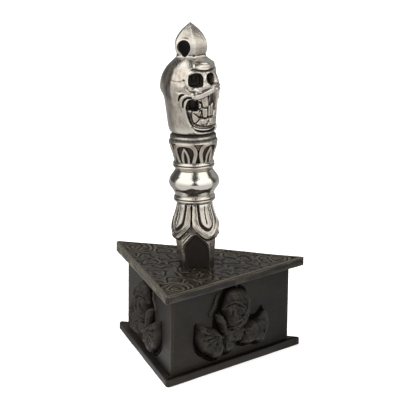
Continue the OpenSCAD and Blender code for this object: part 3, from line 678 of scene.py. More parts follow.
    # Mouth: a groove round the jaw, deep holes beside the tongue
    mouth = [(-41.5, 131.0), (-39.5, 127.6), (-35.5, 124.4), (-28.1, 121.2), (-20.1, 118.9), (-7.7, 117.9), (6, 117.6),
             (25, 117.5), (40, 118.2), (46, 120.5), (48, 125), (47, 131), (44, 136), (41, 138.3), (34, 138.4),
             (25, 138.0), (10, 137.0), (-6, 135.6), (-20.9, 134.4), (-29, 135.1), (-36, 134.0)]
    opening = field(mouth)
    into = ease(opening, -0.08, 0.35)
    floor, bottom = 1.25 + 1.5 * ease(z, 119.6, 126.5) + 0.5 * ease(turn, 15, 40), 6.4
    hole = ease(field([(-39.2, 131.5), (-36.5, 133.9), (-29.4, 135.0), (-20.9, 134.7), (-12.5, 134.4), (-11.5, 131.5),
                       (-13.0, 129.2), (-21.2, 129.0), (-30.2, 129.2), (-38.6, 129.4)]), -0.3, 0.5)
    slit = ease(field([(10.5, 136.8), (20.5, 137.4), (23, 133.6), (20.5, 131.6), (14, 131.8), (11.6, 133.5)]),
                -0.2, 0.4)
    floor = floor + (bottom - floor) * np.maximum(hole, 0.8 * slit)
    h = h * (1 - into) - floor * into
    patina_and_shade = np.maximum(patina_and_shade * (1 - into), into * np.maximum(np.maximum(hole, slit), 0.22 + 0.35 * ease(z, 119.6, 124)))
    rim = line([(-37.5, 123.2), (-30, 120.0), (-21, 117.8), (-8, 117.0), (6, 116.8), (25, 116.7)])
    h += 0.3 * roll(rim, 0.5) * (1 - into)
    ridge([(-27, 121.0), (-19, 119.9), (-6, 119.2), (12, 118.9), (30, 119.0), (40, 119.6)], 0.5, 0.7)
    groove([(-8, 118.3), (6, 118.0), (25, 117.9), (38, 118.5)], 0.35, 0.3, 0.7)

    def stand(outline, level, round_off=0.8, drop=0.8):
        """Raises what lies inside an outline to a level below the skin, with a rounded edge."""
        nonlocal h, patina_and_shade
        edge = field(outline)
        up = level - drop * (1 - ease(edge, 0, round_off)) ** 2
        share = ease(edge, -0.12, 0.12)
        h = np.where(edge > -0.12, np.maximum(h, up * share + h * (1 - share)), h)
        patina_and_shade = patina_and_shade * (1 - ease(edge, -0.1, 0.25))

    # The roof of the tongue's bed, the side walls and the gum
    stand([(-28.5, 129.0), (-20, 128.9), (-13, 128.9), (-11.8, 131.5), (-12.3, 134.5), (-8, 135.8), (11, 137.2),
           (10.5, 133), (13, 131), (14, 125), (-4, 125), (-13, 125.4), (-22, 126.4)], -1.9, 0.5, 0.5)
    stand([(13.6, 131.6), (20.5, 131.2), (27.5, 132.2), (32.0, 129.4), (33.5, 126.5), (30, 124.4), (14.5, 125.2)], -1.0)
    jaw = [(-29.3, 129.4), (-24, 127.7), (-17, 126.5), (-11.9, 125.5), (-4, 125.3), (10, 124.9), (19, 125.2),
           (27, 125.6), (33, 127.5), (37, 128.4), (39.5, 126.6), (40.5, 123.5), (38.5, 121.4), (34.7, 120.8),
           (9.7, 120.8), (-8.6, 121.4), (-21.6, 122.5), (-26.3, 123.8), (-28.8, 126)]
    stand(jaw, 0.12 * (126 - z) - 0.6)

    # Tongue in two blocks with a curl at its side
    stand([(-4.9, 135.4), (-5.2, 137), (9.6, 138), (11.2, 135), (11.7, 132.3), (9.5, 130.7), (3, 130.3), (-1.6, 130.8),
           (-4.2, 132.8)], 0.18 * (137 - z) - 0.4, 1.9, 1.2)
    stand([(-1.6, 130.0), (3, 130.6), (9.8, 130.4), (11, 128), (9.6, 126), (7.7, 124.9), (-0.4, 125.2), (-2.3, 127.8)],
          0.18 * (130.5 - z) - 0.4, 1.7, 1.1)
    groove([(-2, 130.5), (4, 130.2), (10.5, 130.5)], 0.35, 0.4, 0.6)
    groove([(-10.5, 133.4), (-5.8, 133.0), (-4.6, 131.3), (-6.4, 129.8), (-10.4, 129.5)], 0.5, 0.9, 0.9)
    groove([(-8.8, 128.3), (-4.4, 128.9), (-3.7, 127.2), (-6.6, 125.9)], 0.45, 0.9, 0.9)
    ridge([(-9.8, 132.2), (-7, 131.8), (-7.2, 130.8), (-9.9, 130.5)], 0.5, 0.7)
    groove([(13.2, 131.6), (12.6, 128.4), (11.6, 125.6)], 0.45, 0.8, 0.9)
    groove([(20.5, 131.0), (21.8, 128.2), (20.8, 125.6)], 0.4, 0.6, 0.8)
    groove([(28, 131.4), (29.8, 128.2), (28, 125.8)], 0.4, 0.5, 0.7)

    # Left fang with its bright upper edge, a dark notch, incisors, right fang
    ridge([(-29.0, 129.1), (-23.5, 127.3), (-17.5, 126.1), (-11.9, 125.3)], 0.45, 0.55)
    groove([(-23.5, 122.3), (-15.5, 123.6), (-9.2, 125.0)], 0.6, 0.9, 0.6)
    groove([(6.6, 121.4), (10.4, 122.6), (14.2, 124.2)], 0.5, 0.8, 0.6)
    for block in (
        [(-8.4, 124.7), (-1, 125.0), (5.6, 124.8), (6.4, 122.8), (0, 122.0), (-7.2, 122.6)],
        [(11.9, 124.5), (19, 124.9), (27.0, 124.8), (29.5, 122.4), (22, 121.7), (14.4, 122.0)],
    ):
        h += 0.6 * ease(field(block), -0.1, 0.5)
    groove([(-9.0, 122.1), (-1, 121.5), (7.0, 121.9)], 0.4, 0.4, 0.6)
    groove([(-1.4, 123.6), (-1.2, 122.3)], 0.3, 0.3, 0.5)
    groove([(19.5, 123.8), (20.2, 122.4)], 0.3, 0.3, 0.5)
    groove([(-12.5, 125.9), (-4, 125.4), (10, 125.1), (21, 125.3), (29, 125.4)], 0.42, 0.55, 0.8)

    # Eye sockets, squarish and deep
    socket = [(-33.5, 146.6), (-26, 147.5), (-16, 147.8), (-6, 147.3), (-1.4, 145.4), (-2.0, 142.6), (-5, 141.3),
              (-18, 141.1), (-30, 141.5), (-34.3, 143.8)]
    right_socket = [(5.4, 144.6), (8.5, 146.3), (16, 147.2), (25, 147.1), (31.5, 146.0), (33.5, 144.0), (31, 142.2),
                    (24, 141.4), (16, 141.4), (8.0, 142.9)]
    for outline in (socket, right_socket):
        edge = field(outline)
        h += 0.3 * bump(edge + 0.55, 0.8)
        inner = ease(edge, -0.05, 0.45)
        h = h * (1 - inner) - (4.8 + 1.2 * ease(edge, 0.4, 3)) * inner
        patina_and_shade = np.maximum(patina_and_shade, ease(edge, 0.0, 0.4))
    return h, patina_and_shade


class PHURBA_OT_head(Operator):
    """Carve the wrathful skull that crowns the handle"""

    bl_idname = "phurba.head"
    bl_label = "Skull head"

    def execute(self, context):
        bm, patina_and_shade = head_mesh()
        obj = as_object(bm, "skull_head")
        metal = white_metal("White metal, cast, dull and mottled", 0.16, "#b5afa6", 0.5)
        finished(obj, DAGGER, metal, "dagger", ["head"], ((12, 0.28), (320, 2.2)), patina_and_shade)
        return {"FINISHED"}


# Turned pieces of the handle


def turned_piece(outer, gap):
    """A turned section with its bore for the rod, very slightly uneven as hand-finished metal is."""
    line, waver = evenly(outer, gap), 0.05
    bm = spun(line + [(BORE, line[-1][1]), (BORE, line[0][1])], (-180, 180, 144))
    co = places(bm)
    far = np.hypot(co[:, 0], co[:, 1])
    grow = 1 + np.where(far > BORE + 1, waver * unevenness(co, 9, outer[0][1]) / np.maximum(far, 1), 0)
    co[:, :2] *= grow[:, None]
    put(bm, co)
    return bm


def bead_ring(low, high, r):
    return turned_piece(
        [(r - 1.5, high), (r - 0.9, high - 0.05), (r - 0.15, high - 0.9), (r - 0.1, high - 1.35),
         (r - 0.45, high - 1.7), (r - 0.42, high - 1.85), (r, high - 2.2), (r - 0.1, high - 2.8), (r - 0.9, low + 0.7),
         (r - 1.4, low + 0.1), (r - 1.9, low)], 0.14)


class PHURBA_OT_turned(Operator):
    """Turn the knob, the two bead rings and the collar"""

    bl_idname = "phurba.turned"
    bl_label = "Knob, rings and collar"

    def execute(self, context):
        sizes = context.scene.phurba_dagger
        knob, bead = sizes.knob_r / MM, sizes.bead_r / MM
        belt = (LOWER_RING_TOP + KNOB_TOP) / 2
        polished = white_metal("White metal, polished by the hand", 0.09, "#b7b3ac", 0.25)
        rubbed = white_metal("White metal, turned, rubbed on its beads", 0.15, "#a49d94", 0.85, 0.12)
        dark = white_metal("White metal, turned, dark with patina", 0.22, "#594b38", 1.0, 0.4)

        def collar_patina_and_shade(co):
            """Patina all over the collar, and painted shade in its two grooves, under the head and over the cup."""
            up = co[:, 2] - CUP_TOP
            return np.clip(0.5 + 0.4 * bump(up - 0.7, 1.1) + 0.5 * bump(up - 3.4, 1.3), 0, 1)

        pieces = (
            ("grip_knob", "knob", polished, turned_piece(
                [(knob - 3.6, KNOB_TOP), (knob - 3.3, KNOB_TOP - 0.1), (knob - 2, KNOB_TOP - 2),
                 (knob - 0.6, KNOB_TOP - 4.1), (knob, belt), (knob - 0.5, belt - 1.9),
                 (knob - 1.9, LOWER_RING_TOP + 2.5), (knob - 3.1, LOWER_RING_TOP + 0.1),
                 (knob - 3.5, LOWER_RING_TOP)], 0.4)),
            ("upper_bead_ring", "upper_ring", rubbed, bead_ring(KNOB_TOP, UPPER_RING_TOP, bead)),
            ("lower_bead_ring", "lower_ring", rubbed, bead_ring(LOTUS_TOP, LOWER_RING_TOP, bead)),
            ("neck_collar", "collar", dark, turned_piece(
                [(9.8, COLLAR_TOP), (10.3, COLLAR_TOP - 0.1), (10.8, COLLAR_TOP - 0.7), (11.4, COLLAR_TOP - 1.2),
                 (11.7, COLLAR_TOP - 1.8), (11.6, COLLAR_TOP - 2.4), (11.5, COLLAR_TOP - 3.0), (11.6, CUP_TOP)], 0.15)),
        )
        for name, node, metal, bm in pieces:
            patina_and_shade = collar_patina_and_shade if node == "collar" else None
            finished(as_object(bm, name), DAGGER, metal, "dagger", [node], ((14, 0.1), (60, 0.5)), patina_and_shade)
        return {"FINISHED"}


# Lotuses


def petal_turn(turn, first, count):
    """Angle of each place from the middle of its own petal, and whether that petal is an odd one."""
    pitch = 360 / count
    own = (turn - first + pitch / 2) % pitch - pitch / 2
    return own, np.round((turn - first - own) / pitch).astype(int) % 2 == 1


def both_sides(line):
    """A line and its mirror image, joined where the line ends."""
    return list(line) + [(-a, b) for a, b in line[-2::-1]]


def upper_lotus_mesh(cup):
    """Cup of five upright petals, each an arched band round a pointed leaf with a slit."""
    low, top = UPPER_RING_TOP, CUP_TOP
    outer = evenly([(cup - 1.6, top), (cup - 0.5, top - 0.05), (cup, top - 1.0), (cup - 0.35, top - 2.6),
                    (cup - 0.8, top - 4.6), (cup - 1.7, top - 7.2), (cup - 2.6, low + 0.2), (cup - 3.1, low)], 0.18)
    bm = spun(outer + [(BORE, low), (BORE, top)], (-180, 180, 400))
    degree = math.radians(1) * (cup - 1.4)  # a degree of the cup's turn in mm
    patina_and_shade = []

    def curve(points):
        return through([(a * degree, low + b) for a, b in both_sides(points)])

    band = curve([(21.5, -1), (26, 1.8), (29, 4.8), (26.5, 7.5), (17, 9.3), (0, 9.9)])

    def move(turn, z, r):
        x = petal_turn(turn, 22, 5)[0] * degree
        arch, inside = away(band, x, z), within(band, x, z)
        leaf = within(curve([(12.5, -1), (13.2, 2.6), (9.0, 5.6), (1.2, 8.3), (0, 8.5)]), x, z)
        slit = within(curve([(4.6, -1), (4.8, 2.7), (1.2, 5.9), (0, 6.2)]), x, z)
        # Ground of the petal, arched band over it, leaf with its slit
        h = -1.05 * ease(inside, -0.3, 0.2)
        dark = ease(inside, 0.6, 1.0)
        rise = ease(leaf, -0.1, 0.25)
        h = h * (1 - rise) - 0.15 * rise + 0.2 * roll(leaf - 0.7, 0.7) * rise
        dark *= 1 - ease(leaf, -0.1, 0.2)
        h -= 0.9 * ease(slit, -0.1, 0.25)
        dark = np.maximum(dark, ease(slit, -0.05, 0.2))
        # Wedge between two petals: a dark gap below, a small raised triangle above
        beyond = ease(-inside, 0.75, 1.05)
        gap = beyond * (1 - ease(z, low + 5.6, low + 7.4))
        h = h - beyond * 0.45 - gap * 1.1
        dark = np.maximum(dark, gap)
        h -= 0.5 * bump(-inside - 0.95, 0.35) * (1 - ease(z, top - 1.9, top - 1.2))
        dark = np.maximum(dark, 0.7 * bump(-inside - 0.95, 0.4) * (1 - ease(z, top - 2.2, top - 1.6)))
        on_band = ease(1.1 - arch, 0, 0.2)
        h = h * (1 - on_band) + on_band * (0.22 * roll(arch, 1.3) - 0.12)
        dark *= 1 - on_band
        h = h * ease(z, low, low + 0.3) * (1 - ease(z, top - 1.3, top - 0.9))
        dark = dark * (1 - ease(z, top - 1.5, top - 1.1)) * ease(r, 6, 7)
        patina_and_shade.append(np.where(r > 6, 0.5 * dark, 0))
        return z, np.where(r > 6, r + h, r)

    reshape(bm, move)
    return bm, patina_and_shade[0]


def lower_lotus_mesh(swell):
    """Bell of four hanging petals, each a hollow band round a tongue with two lines."""
    top, mean_r = LOTUS_TOP, 11.6
    side = [(8.4, top), (8.95, top - 0.1), (9.6, top - 3), (10.5, top - 6), (11.4, top - 8.9), (12.2, top - 12.2),
            (swell - 0.2, top - 15), (swell, top - 17.0), (swell - 0.4, LOTUS_LOW + 0.5), (12.0, LOTUS_LOW)]
    outer = evenly(side, 0.18)
    inner = [(10.7, LOTUS_LOW), (10.3, LOTUS_LOW + 0.3), (10.2, LOTUS_LOW + 2), (10.1, ROOT_TOP - 0.1),
             (10.0, ROOT_TOP), (BORE, ROOT_TOP), (BORE, top)]
    bm = spun(outer + inner, (-180, 180, 400))
    heights, radii = np.array(outer)[::-1, 1], np.array(outer)[::-1, 0]
    # A petal's rim, the channel round its tongue, and the two lines on the tongue
    rim = through(both_sides([(8.3, top + 1), (8.55, top - 5), (8.3, top - 8.2), (7.0, top - 10.5), (4.3, top - 13.1),
                              (1.6, top - 15.2), (0, top - 15.6)]))
    channel = through(both_sides([(5.0, top + 1), (4.65, top - 4.2), (4.35, top - 8.2), (3.4, top - 10.4),
                                  (1.5, top - 12.1), (0, top - 12.6)]))
    lines = ([(-0.45, top - 1.3), (-0.9, top - 5.4), (-0.6, top - 9.3)],
             [(2.5, top - 1.3), (2.6, top - 5.4), (2.75, top - 9)])
    patina_and_shade = []

    def move(turn, z, r):
        own, odd = petal_turn(turn, 8, 4)
        x = np.radians(own) * mean_r
        skin = r > 10.9 - 2.6 * (z > ROOT_TOP)
        # The skirt's hem follows the petals: what would hang below it is drawn up
        sign = np.where(odd, -1, 1)
        outer_side = own * sign > 0
        hem = LOTUS_LOW - 0.4 + np.where(outer_side, 4.6, 8.4) * (np.abs(own) / 45) ** np.where(outer_side, 6, 1.4)
        turn_in = top - 7.5
        share = np.clip((turn_in - z) / (turn_in - LOTUS_LOW), 0, 1)
        z_skin = np.where(z < turn_in, turn_in - share * (turn_in - hem), z)
        wall = ~skin & (r > 10.05) & (z < ROOT_TOP)
        new_z = np.where(skin, z_skin, np.where(wall, np.maximum(z, hem + 0.15 * (z > LOTUS_LOW + 0.1)), z))
        base = np.where(skin & (z < turn_in), np.interp(z_skin, heights, radii), r)

        crest = within(rim, x, new_z)
        in_channel = away(channel, x, new_z)
        tongue = within(channel, x, new_z)
        across = np.clip(crest / np.maximum(crest + in_channel, 0.1), 0, 1)
        h = -0.55 * np.sin(np.pi * across) * (tongue < 0) * (crest > 0)
        h += 0.12 * bump(crest, 0.4)
        h -= np.where(crest < 0, 0.95 * np.clip(-crest / 2.4, 0, 1), 0)
        h -= 1.25 * bump(in_channel, 1.15)
        dark = ease(0.9 - in_channel, 0, 0.4)
        for line in lines:
            d = away(through(line), x * sign, new_z)
            h -= 0.8 * bump(d, 0.55)
            dark = np.maximum(dark, ease(0.4 - d, 0, 0.2))
        divide = np.hypot(np.abs(x) - math.radians(45) * mean_r, np.maximum(hem + 0.6 - new_z, 0))
        h -= 1.2 * bump(divide, 0.7)
        dark = np.maximum(dark, ease(0.5 - divide, 0, 0.3))
        # The hem curls under, with a painted shadow along its lip
        lip = new_z - hem
        h -= np.where(skin & (z < turn_in), 0.8 * (1 - ease(lip, 0, 1.0)), 0)
        dark = np.maximum(dark, 0.6 * (1 - ease(lip, 0.2, 1.1)))
        h *= ease(top - z, 0.05, 0.5)
        # The inside of the bell, under the blade's root, is painted black as shade
        patina_and_shade.append(np.where(skin, dark, 1.0 * (z < ROOT_TOP + 0.1)))
        return new_z, np.where(skin, base + h, r)

    reshape(bm, move)
    return bm, patina_and_shade[0]


class PHURBA_OT_lotuses(Operator):
    """Model the upright lotus cup and the hanging lotus bell"""

    bl_idname = "phurba.lotuses"
    bl_label = "Lotuses"

    def execute(self, context):
        sizes = context.scene.phurba_dagger
        dull = white_metal("White metal, chased, brown with patina", 0.28, "#695a46", 0.9, 0.2)
        rubbed = white_metal("White metal, cast, rubbed on its ridges", 0.18, "#aaa49b", 0.65)
        for name, node, metal, (bm, patina_and_shade) in (
            ("lotus_cup", "upper_lotus", dull, upper_lotus_mesh(sizes.cup_r / MM)),
            ("lotus_bell", "lower_lotus", rubbed, lower_lotus_mesh(sizes.lotus_r / MM)),
        ):
            finished(as_object(bm, name), DAGGER, metal, "dagger", [node], ((10, 0.14), (70, 0.6)), patina_and_shade)
        return {"FINISHED"}


# Finial

RIDGES = (-85, -16, 37, 96, 156, 214)  # of the bud, in degrees from the nose
CORD_TURN = -55  # of the cord hole, from the nose
SPIGOT_R = 3.6  # of the peg below the bud


def bud_mesh(bud):
    """Six-sided pointed bud on a low foot, with its spigot below."""
    side = evenly([(0.05, BUD_TIP + 0.5), (0.6, BUD_TIP - 0.3), (bud - 3.5, HEAD_TOP + 13), (bud - 0.8, HEAD_TOP + 9),
                   (bud, HEAD_TOP + 6), (bud - 0.12, HEAD_TOP + 4), (bud - 0.65, HEAD_TOP + 2.2),
                   (bud - 0.95, HEAD_TOP + 1.4), (bud - 0.6, HEAD_TOP + 0.9), (bud - 0.75, HEAD_TOP)], 0.25)
    spigot = [(SPIGOT_R, HEAD_TOP), (SPIGOT_R, HEAD_TOP - 8), (0.02, HEAD_TOP - 8)]
    bm = spun(side + spigot, (-180, 180, 240))

    def move(turn, z, r):
        grow, near = np.ones(len(turn)), np.full(len(turn), 99.0)
        for a, b in zip(RIDGES, RIDGES[1:] + (RIDGES[0] + 360,)):
            off = (turn - (a + b) / 2 + 180) % 360 - 180
            slant = np.cos(np.radians(np.clip(off, -80, 80)))
            flat = math.cos(math.radians(b - a) / 2) / math.cos(math.radians(30)) / slant
            grow = np.where(np.abs(off) <= (b - a) / 2 + 1e-6, flat, grow)
            near = np.minimum(near, np.abs(np.abs(off) - (b - a) / 2))
        grow = 1 + (grow - 1) * 0.95
        dimple = bump(np.hypot(np.radians(near) * 8, (z - HEAD_TOP - 1.4) / 1.1), 1)
        outside = r > SPIGOT_R + 0.1
        shaped = r * (1 + (grow - 1) * np.clip(r / 1.5, 0, 1)) - 0.5 * dimple * outside
        return z, np.where((z > HEAD_TOP - 0.01) & (outside | (z > HEAD_TOP + 0.1)), shaped, r)

    reshape(bm, move)
    return bm


class PHURBA_OT_finial(Operator):
    """Model the six-sided bud and pierce its cord hole"""

    bl_idname = "phurba.finial"
    bl_label = "Finial"

    def execute(self, context):
        sizes = context.scene.phurba_dagger
        obj = as_object(bud_mesh(sizes.bud_r / MM), "bud_finial")
        r, middle = sizes.cord_r / MM, HEAD_TOP + 5.5
        arc = [math.radians(a) for a in range(-40, 221, 10)]
        drop = [(r * math.cos(a), r * math.sin(a)) for a in arc] + [(-1.2, -r * 1.2), (0, -r * 1.4), (1.2, -r * 1.2)]
        across = turned(CORD_TURN) @ Matrix.Translation((0, 0, middle)) @ Matrix.Rotation(math.radians(90), 4, "X")
        tool = prism(drop, -20, 20)
        tool.transform(across)
        cut(obj, tool)
        apply(obj, "REMESH", mode="VOXEL", voxel_size=0.18)
        bm = bmesh.new()
        bm.from_mesh(obj.data)
        for _ in range(3):
            bmesh.ops.smooth_vert(bm, verts=bm.verts, factor=0.5, use_axis_x=True, use_axis_y=True, use_axis_z=True)
        bm.to_mesh(obj.data)
        bm.free()

        def patina_and_shade(co):
            """Painted shade in the cord hole and round the foot."""
            a = math.radians(CORD_TURN)
            side = co[:, 0] * math.cos(a) + co[:, 1] * math.sin(a)
            depth = np.abs(co[:, 0] * math.sin(a) - co[:, 1] * math.cos(a))
            far = np.hypot(side, co[:, 2] - middle)
            foot = 0.6 * (1 - ease(co[:, 2], HEAD_TOP, HEAD_TOP + 0.5))
            return np.maximum(ease(r + 1.6 - far, 0, 0.5) * (1 - ease(depth, 5.6, 7.2)), foot)

        metal = white_metal("White metal, cast, filed into facets", 0.22, "#b2ada5", 0.5)
        finished(obj, DAGGER, metal, "dagger", ["finial"], ((14, 0.1), (200, 0.9)), patina_and_shade)
        return {"FINISHED"}


# Blade

# The pointed arch at the top of a ground face: mm from the face's middle, height
ARCH = [(-6.9, 38), (-6.9, 54.3), (-6.2, 58.2), (-4.3, 60.9), (0, 64.4), (4.5, 60.9), (7, 58), (8.6, 54.3), (9.3, 50),
        (9.6, 38)]


def face_in(z):
    """Distance from the axis to the deepest line of a ground face."""
    return 0.35 + (z - TIP) * 0.1454


def edge_in(z):
    """Distance from the axis to a narrow face."""
    return 9.6 - (ROOT_TOP - z) * 0.0542


def blade_mesh():
    """Three hollow-ground faces between three narrow ones, each face ending in a pointed arch under the lotus."""
    rows = [(9.9, z) for z in np.r_[np.linspace(ROOT_TOP, 44, 120), np.linspace(43.6, TIP, 60)]]
    rod, deep = 2.03, 10
    bore = [(0.02, TIP), (0.02, ROOT_TOP - deep), (rod, ROOT_TOP - deep), (rod, ROOT_TOP)]
    reach = 8.0  # distance at which the faces' angles become lengths
    crisp = 1.9  # the larger it is, the sharper the edges
    bm = spun([(7.9, ROOT_TOP)] + rows + bore, (-180, 180, 360))
    patina_and_shade = []

    def move(turn, z, r):
        skin = r > 9
        off = np.radians((turn - BLADE_TURN + 60) % 120 - 60)
        x = reach * np.tan(off)
        arch_in = within(through(ARCH), x, z)
        thin = ease(z, 20, 42)
        narrow = (edge_in(z) + 0.5 * thin - 0.15 * ease(62 - z, 0, 13) * thin) / np.cos(math.radians(60) - np.abs(off))
        ground = (face_in(z) - 0.9 * thin + (x * face_in(z) / reach) ** 2 / 120) / np.cos(off)
        root = (8.15 - 0.5 * ease(62 - z, 0, 14)) / np.cos(off)
        share = ease(arch_in, -1.3, 1.2)
        wide = ground * share + root * (1 - share)
        chevron = bump(arch_in + 1.2, 0.5) * ease(z, 58, 61) + bump(arch_in + 2.6, 0.5) * ease(z, 60.5, 63)
        wide = wide - 0.4 * chevron
        shape = -np.log(np.exp(-crisp * wide) + np.exp(-crisp * narrow)) / crisp
        # Painted shade: the ground face inside each arch is dark and every face darkens towards the stand; the chevron
        # grooves are darkened too
        dark = 0.85 * ease(arch_in, -0.4, 0.5) + 0.35 * chevron
        dark = np.maximum(dark, 0.75 * ease(56.5 - z, 0, 7))
        patina_and_shade.append(np.where(skin, np.clip(dark, 0, 1), 0))
        return z, np.where(skin, shape, np.where(r > 5, 7.4, r))

    reshape(bm, move)
    return bm, patina_and_shade[0]


class PHURBA_OT_blade(Operator):
    """Grind the three-edged blade"""

    bl_idname = "phurba.blade"
    bl_label = "Blade"

    def execute(self, context):
        metal = white_metal("White metal, ground, tarnished, with painted shade", 0.22, "#b3aca3", 0.4)
        bm, patina_and_shade = blade_mesh()
        obj = as_object(bm, "three_edged_blade")
        finished(obj, DAGGER, metal, "dagger", ["blade"], ((14, 0.9),), patina_and_shade)
        return {"FINISHED"}


# Stand

SIDES = {"left": -60, "right": 60, "back": 180}  # where each side of the stand faces


def plate_outline(side, radii):
    """Triangle with its nearest corner to -Y, rounded corners, and sides cut into short steps that waver slightly."""
    corners, step, waver = [], 2.5, 0.4
    for k, r in zip(CORNERS, radii):
        out = side / math.sqrt(3) - 2 * r
        base = math.radians(k)
        for a in np.linspace(-60, 60, 7):
            turn = math.radians(k + a)
            corners.append((out * math.sin(base) + r * math.sin(turn), -out * math.cos(base) - r * math.cos(turn)))
    made = []
    for (ax, ay), (bx, by) in zip(corners, corners[1:] + corners[:1]):
        steps = max(1, round(math.hypot(bx - ax, by - ay) / step))
        made += [(ax + (bx - ax) * t / steps, ay + (by - ay) * t / steps) for t in range(steps)]
    co = np.array([(x, y, 0) for x, y in made])
    shrink = 1 - waver * (1 + unevenness(co, 23, side)) / 2 / (side / 2)
    return [(x * k, y * k) for (x, y), k in zip(made, shrink)]


def carved_top_mesh(side, pitch, depth):
    """The top plate: a fine sheet cut to the triangle, carved with coils, with its edges pulled down."""
    bm = bmesh.new()
    count = 380
    near, thick = side / math.sqrt(12), STAND_TOP - PLATE_LOW
    level = Matrix.Translation((0, 0, STAND_TOP))
    bmesh.ops.create_grid(bm, x_segments=count, y_segments=count, size=side * 0.59, matrix=level)
    planes = [(k + 60, near) for k in CORNERS]
    for k, r in zip(CORNERS, (1.6, 1.6, 2.6)):
        planes += [(k + a, (side / math.sqrt(3) - 2 * r) * math.cos(math.radians(a)) + r) for a in range(-48, 49, 12)]
    for angle, out in planes:
        a = math.radians(angle)
        normal = (math.sin(a), -math.cos(a), 0)
        bmesh.ops.bisect_plane(
            bm, geom=bm.verts[:] + bm.edges[:] + bm.faces[:], plane_co=(normal[0] * out, normal[1] * out, STAND_TOP),
            plane_no=normal, clear_outer=True)
    edges = [e for e in bm.edges if e.is_boundary]
    for drop in (0.35, 0.35, 0.6, 1.0, 1.0, 0.5, 0.5):
        out = bmesh.ops.extrude_edge_only(bm, edges=edges)["geom"]
        verts = [g for g in out if isinstance(g, bmesh.types.BMVert)]
        edges = [g for g in out if isinstance(g, bmesh.types.BMEdge) and g.is_boundary]
        bmesh.ops.translate(bm, vec=(0, 0, -drop), verts=verts)
    co = places(bm)
    x, y = co[:, 0], co[:, 1]
    outward = [turned(k + 60) @ Vector((0, -1, 0)) for k in CORNERS]
    border = np.min([near - (n.x * x + n.y * y) for n in outward], 0)
    top, depth_down = co[:, 2] > STAND_TOP - 0.01, np.clip(STAND_TOP - co[:, 2], 0, thick)
    cut_in = coils(x, y, pitch) * ease(border, 1.6, 2.6)
    slow = unevenness(co, 17)
    down = depth * cut_in + 0.15 * (1 + slow) * ease(border, 0, 3)
    rounded = 1.1
    down += 0.5 * (1 - roll(np.clip(rounded - border, 0, rounded), rounded)) * (1 + 0.5 * slow)
    # The narrow side is rounded above and below and a little uneven
    waist = 0.35 * (1 - ease(depth_down, 0, 0.7)) + 0.3 * ease(depth_down, thick - 0.7, thick)
    waist += 0.3 * (1 + unevenness(co * (1, 1, 3), 12, 3))
    keep = 1 - np.where(border < 0.02, waist, 0) / (side / 2)
    # The old board is not quite flat: its left corner reaches out and the far edge is raised
    co[:, 2] += 0.7 * ease(y, 0, 24) * (1 - ease(x, 0, 40)) * ease(co[:, 2], PLATE_LOW, STAND_TOP)
    co[:, 0] -= 0.8 * ease(-x, 22, 48)
    co[:, 2] -= np.where(top, down, np.where(depth_down < 1.2, 0.55 * (1 + 0.5 * slow) * (1 - depth_down / 1.2), 0))
    co[:, 0] *= keep
    co[:, 1] *= keep
    put(bm, co)
    for v in {v for e in edges for v in e.verts}:
        v.co.z = PLATE_LOW
    bmesh.ops.holes_fill(bm, edges=edges)
    bmesh.ops.recalc_face_normals(bm, faces=bm.faces)
    return bm


def coils(x, y, pitch):
    """Carved coils, uneven rings round many centres and wide ones at the corners: 1 in a groove, 0 on a ridge."""
    co = np.stack([x, y, 0 * x], 1)
    x = x + 0.16 * pitch * unevenness(co, 9, 3)
    y = y + 0.16 * pitch * unevenness(co, 9, 8)
    best, rings = np.full(len(x), 1e9), np.zeros(len(x))
    for row in range(-8, 9):
        for column in range(-8, 9):
            cx = (column + 0.5 * (row % 2)) * pitch + 0.25 * pitch * math.sin(row * 2.1 + column * 3.7)
            cy = row * pitch * 0.87 + 0.25 * pitch * math.cos(row * 3.3 - column * 1.9)
            far = np.hypot(x - cx, y - cy)
            near = far < best
            rings = np.where(near, far / (pitch * 0.4) + 0.1, rings)
            best = np.minimum(best, far)
    out, reach, ring = 43, 11, 2.9  # of the wide coil at each corner
    for k in CORNERS:
        a = math.radians(k)
        far = np.hypot(x - out * math.sin(a), y + out * math.cos(a))
        rings = np.where(far < reach, far / ring, rings)
    return (1 - np.abs(np.sin(rings * math.pi)) ** 0.6) * (0.75 + 0.25 * unevenness(co, 5, 2))


def wall_mesh():
    """One wall board, facing -Y: its right end wraps the corner, its left end meets the next board."""
    half, inner, seam = BOX_SIDE / 2, BOX_SIDE / 2 - WALL_T * math.sqrt(3), 1.1
    bm = prism(
        [(seam - half, -BOX_IN), (half, -BOX_IN), (half - seam / 2, -BOX_IN + seam * math.sqrt(3) / 2),
         (inner, WALL_T - BOX_IN), (-inner, WALL_T - BOX_IN)], WALL_LOW, PLATE_LOW)
    soften(bm, 0.3, 3)
    framed(bm, 1.6)
    return bm


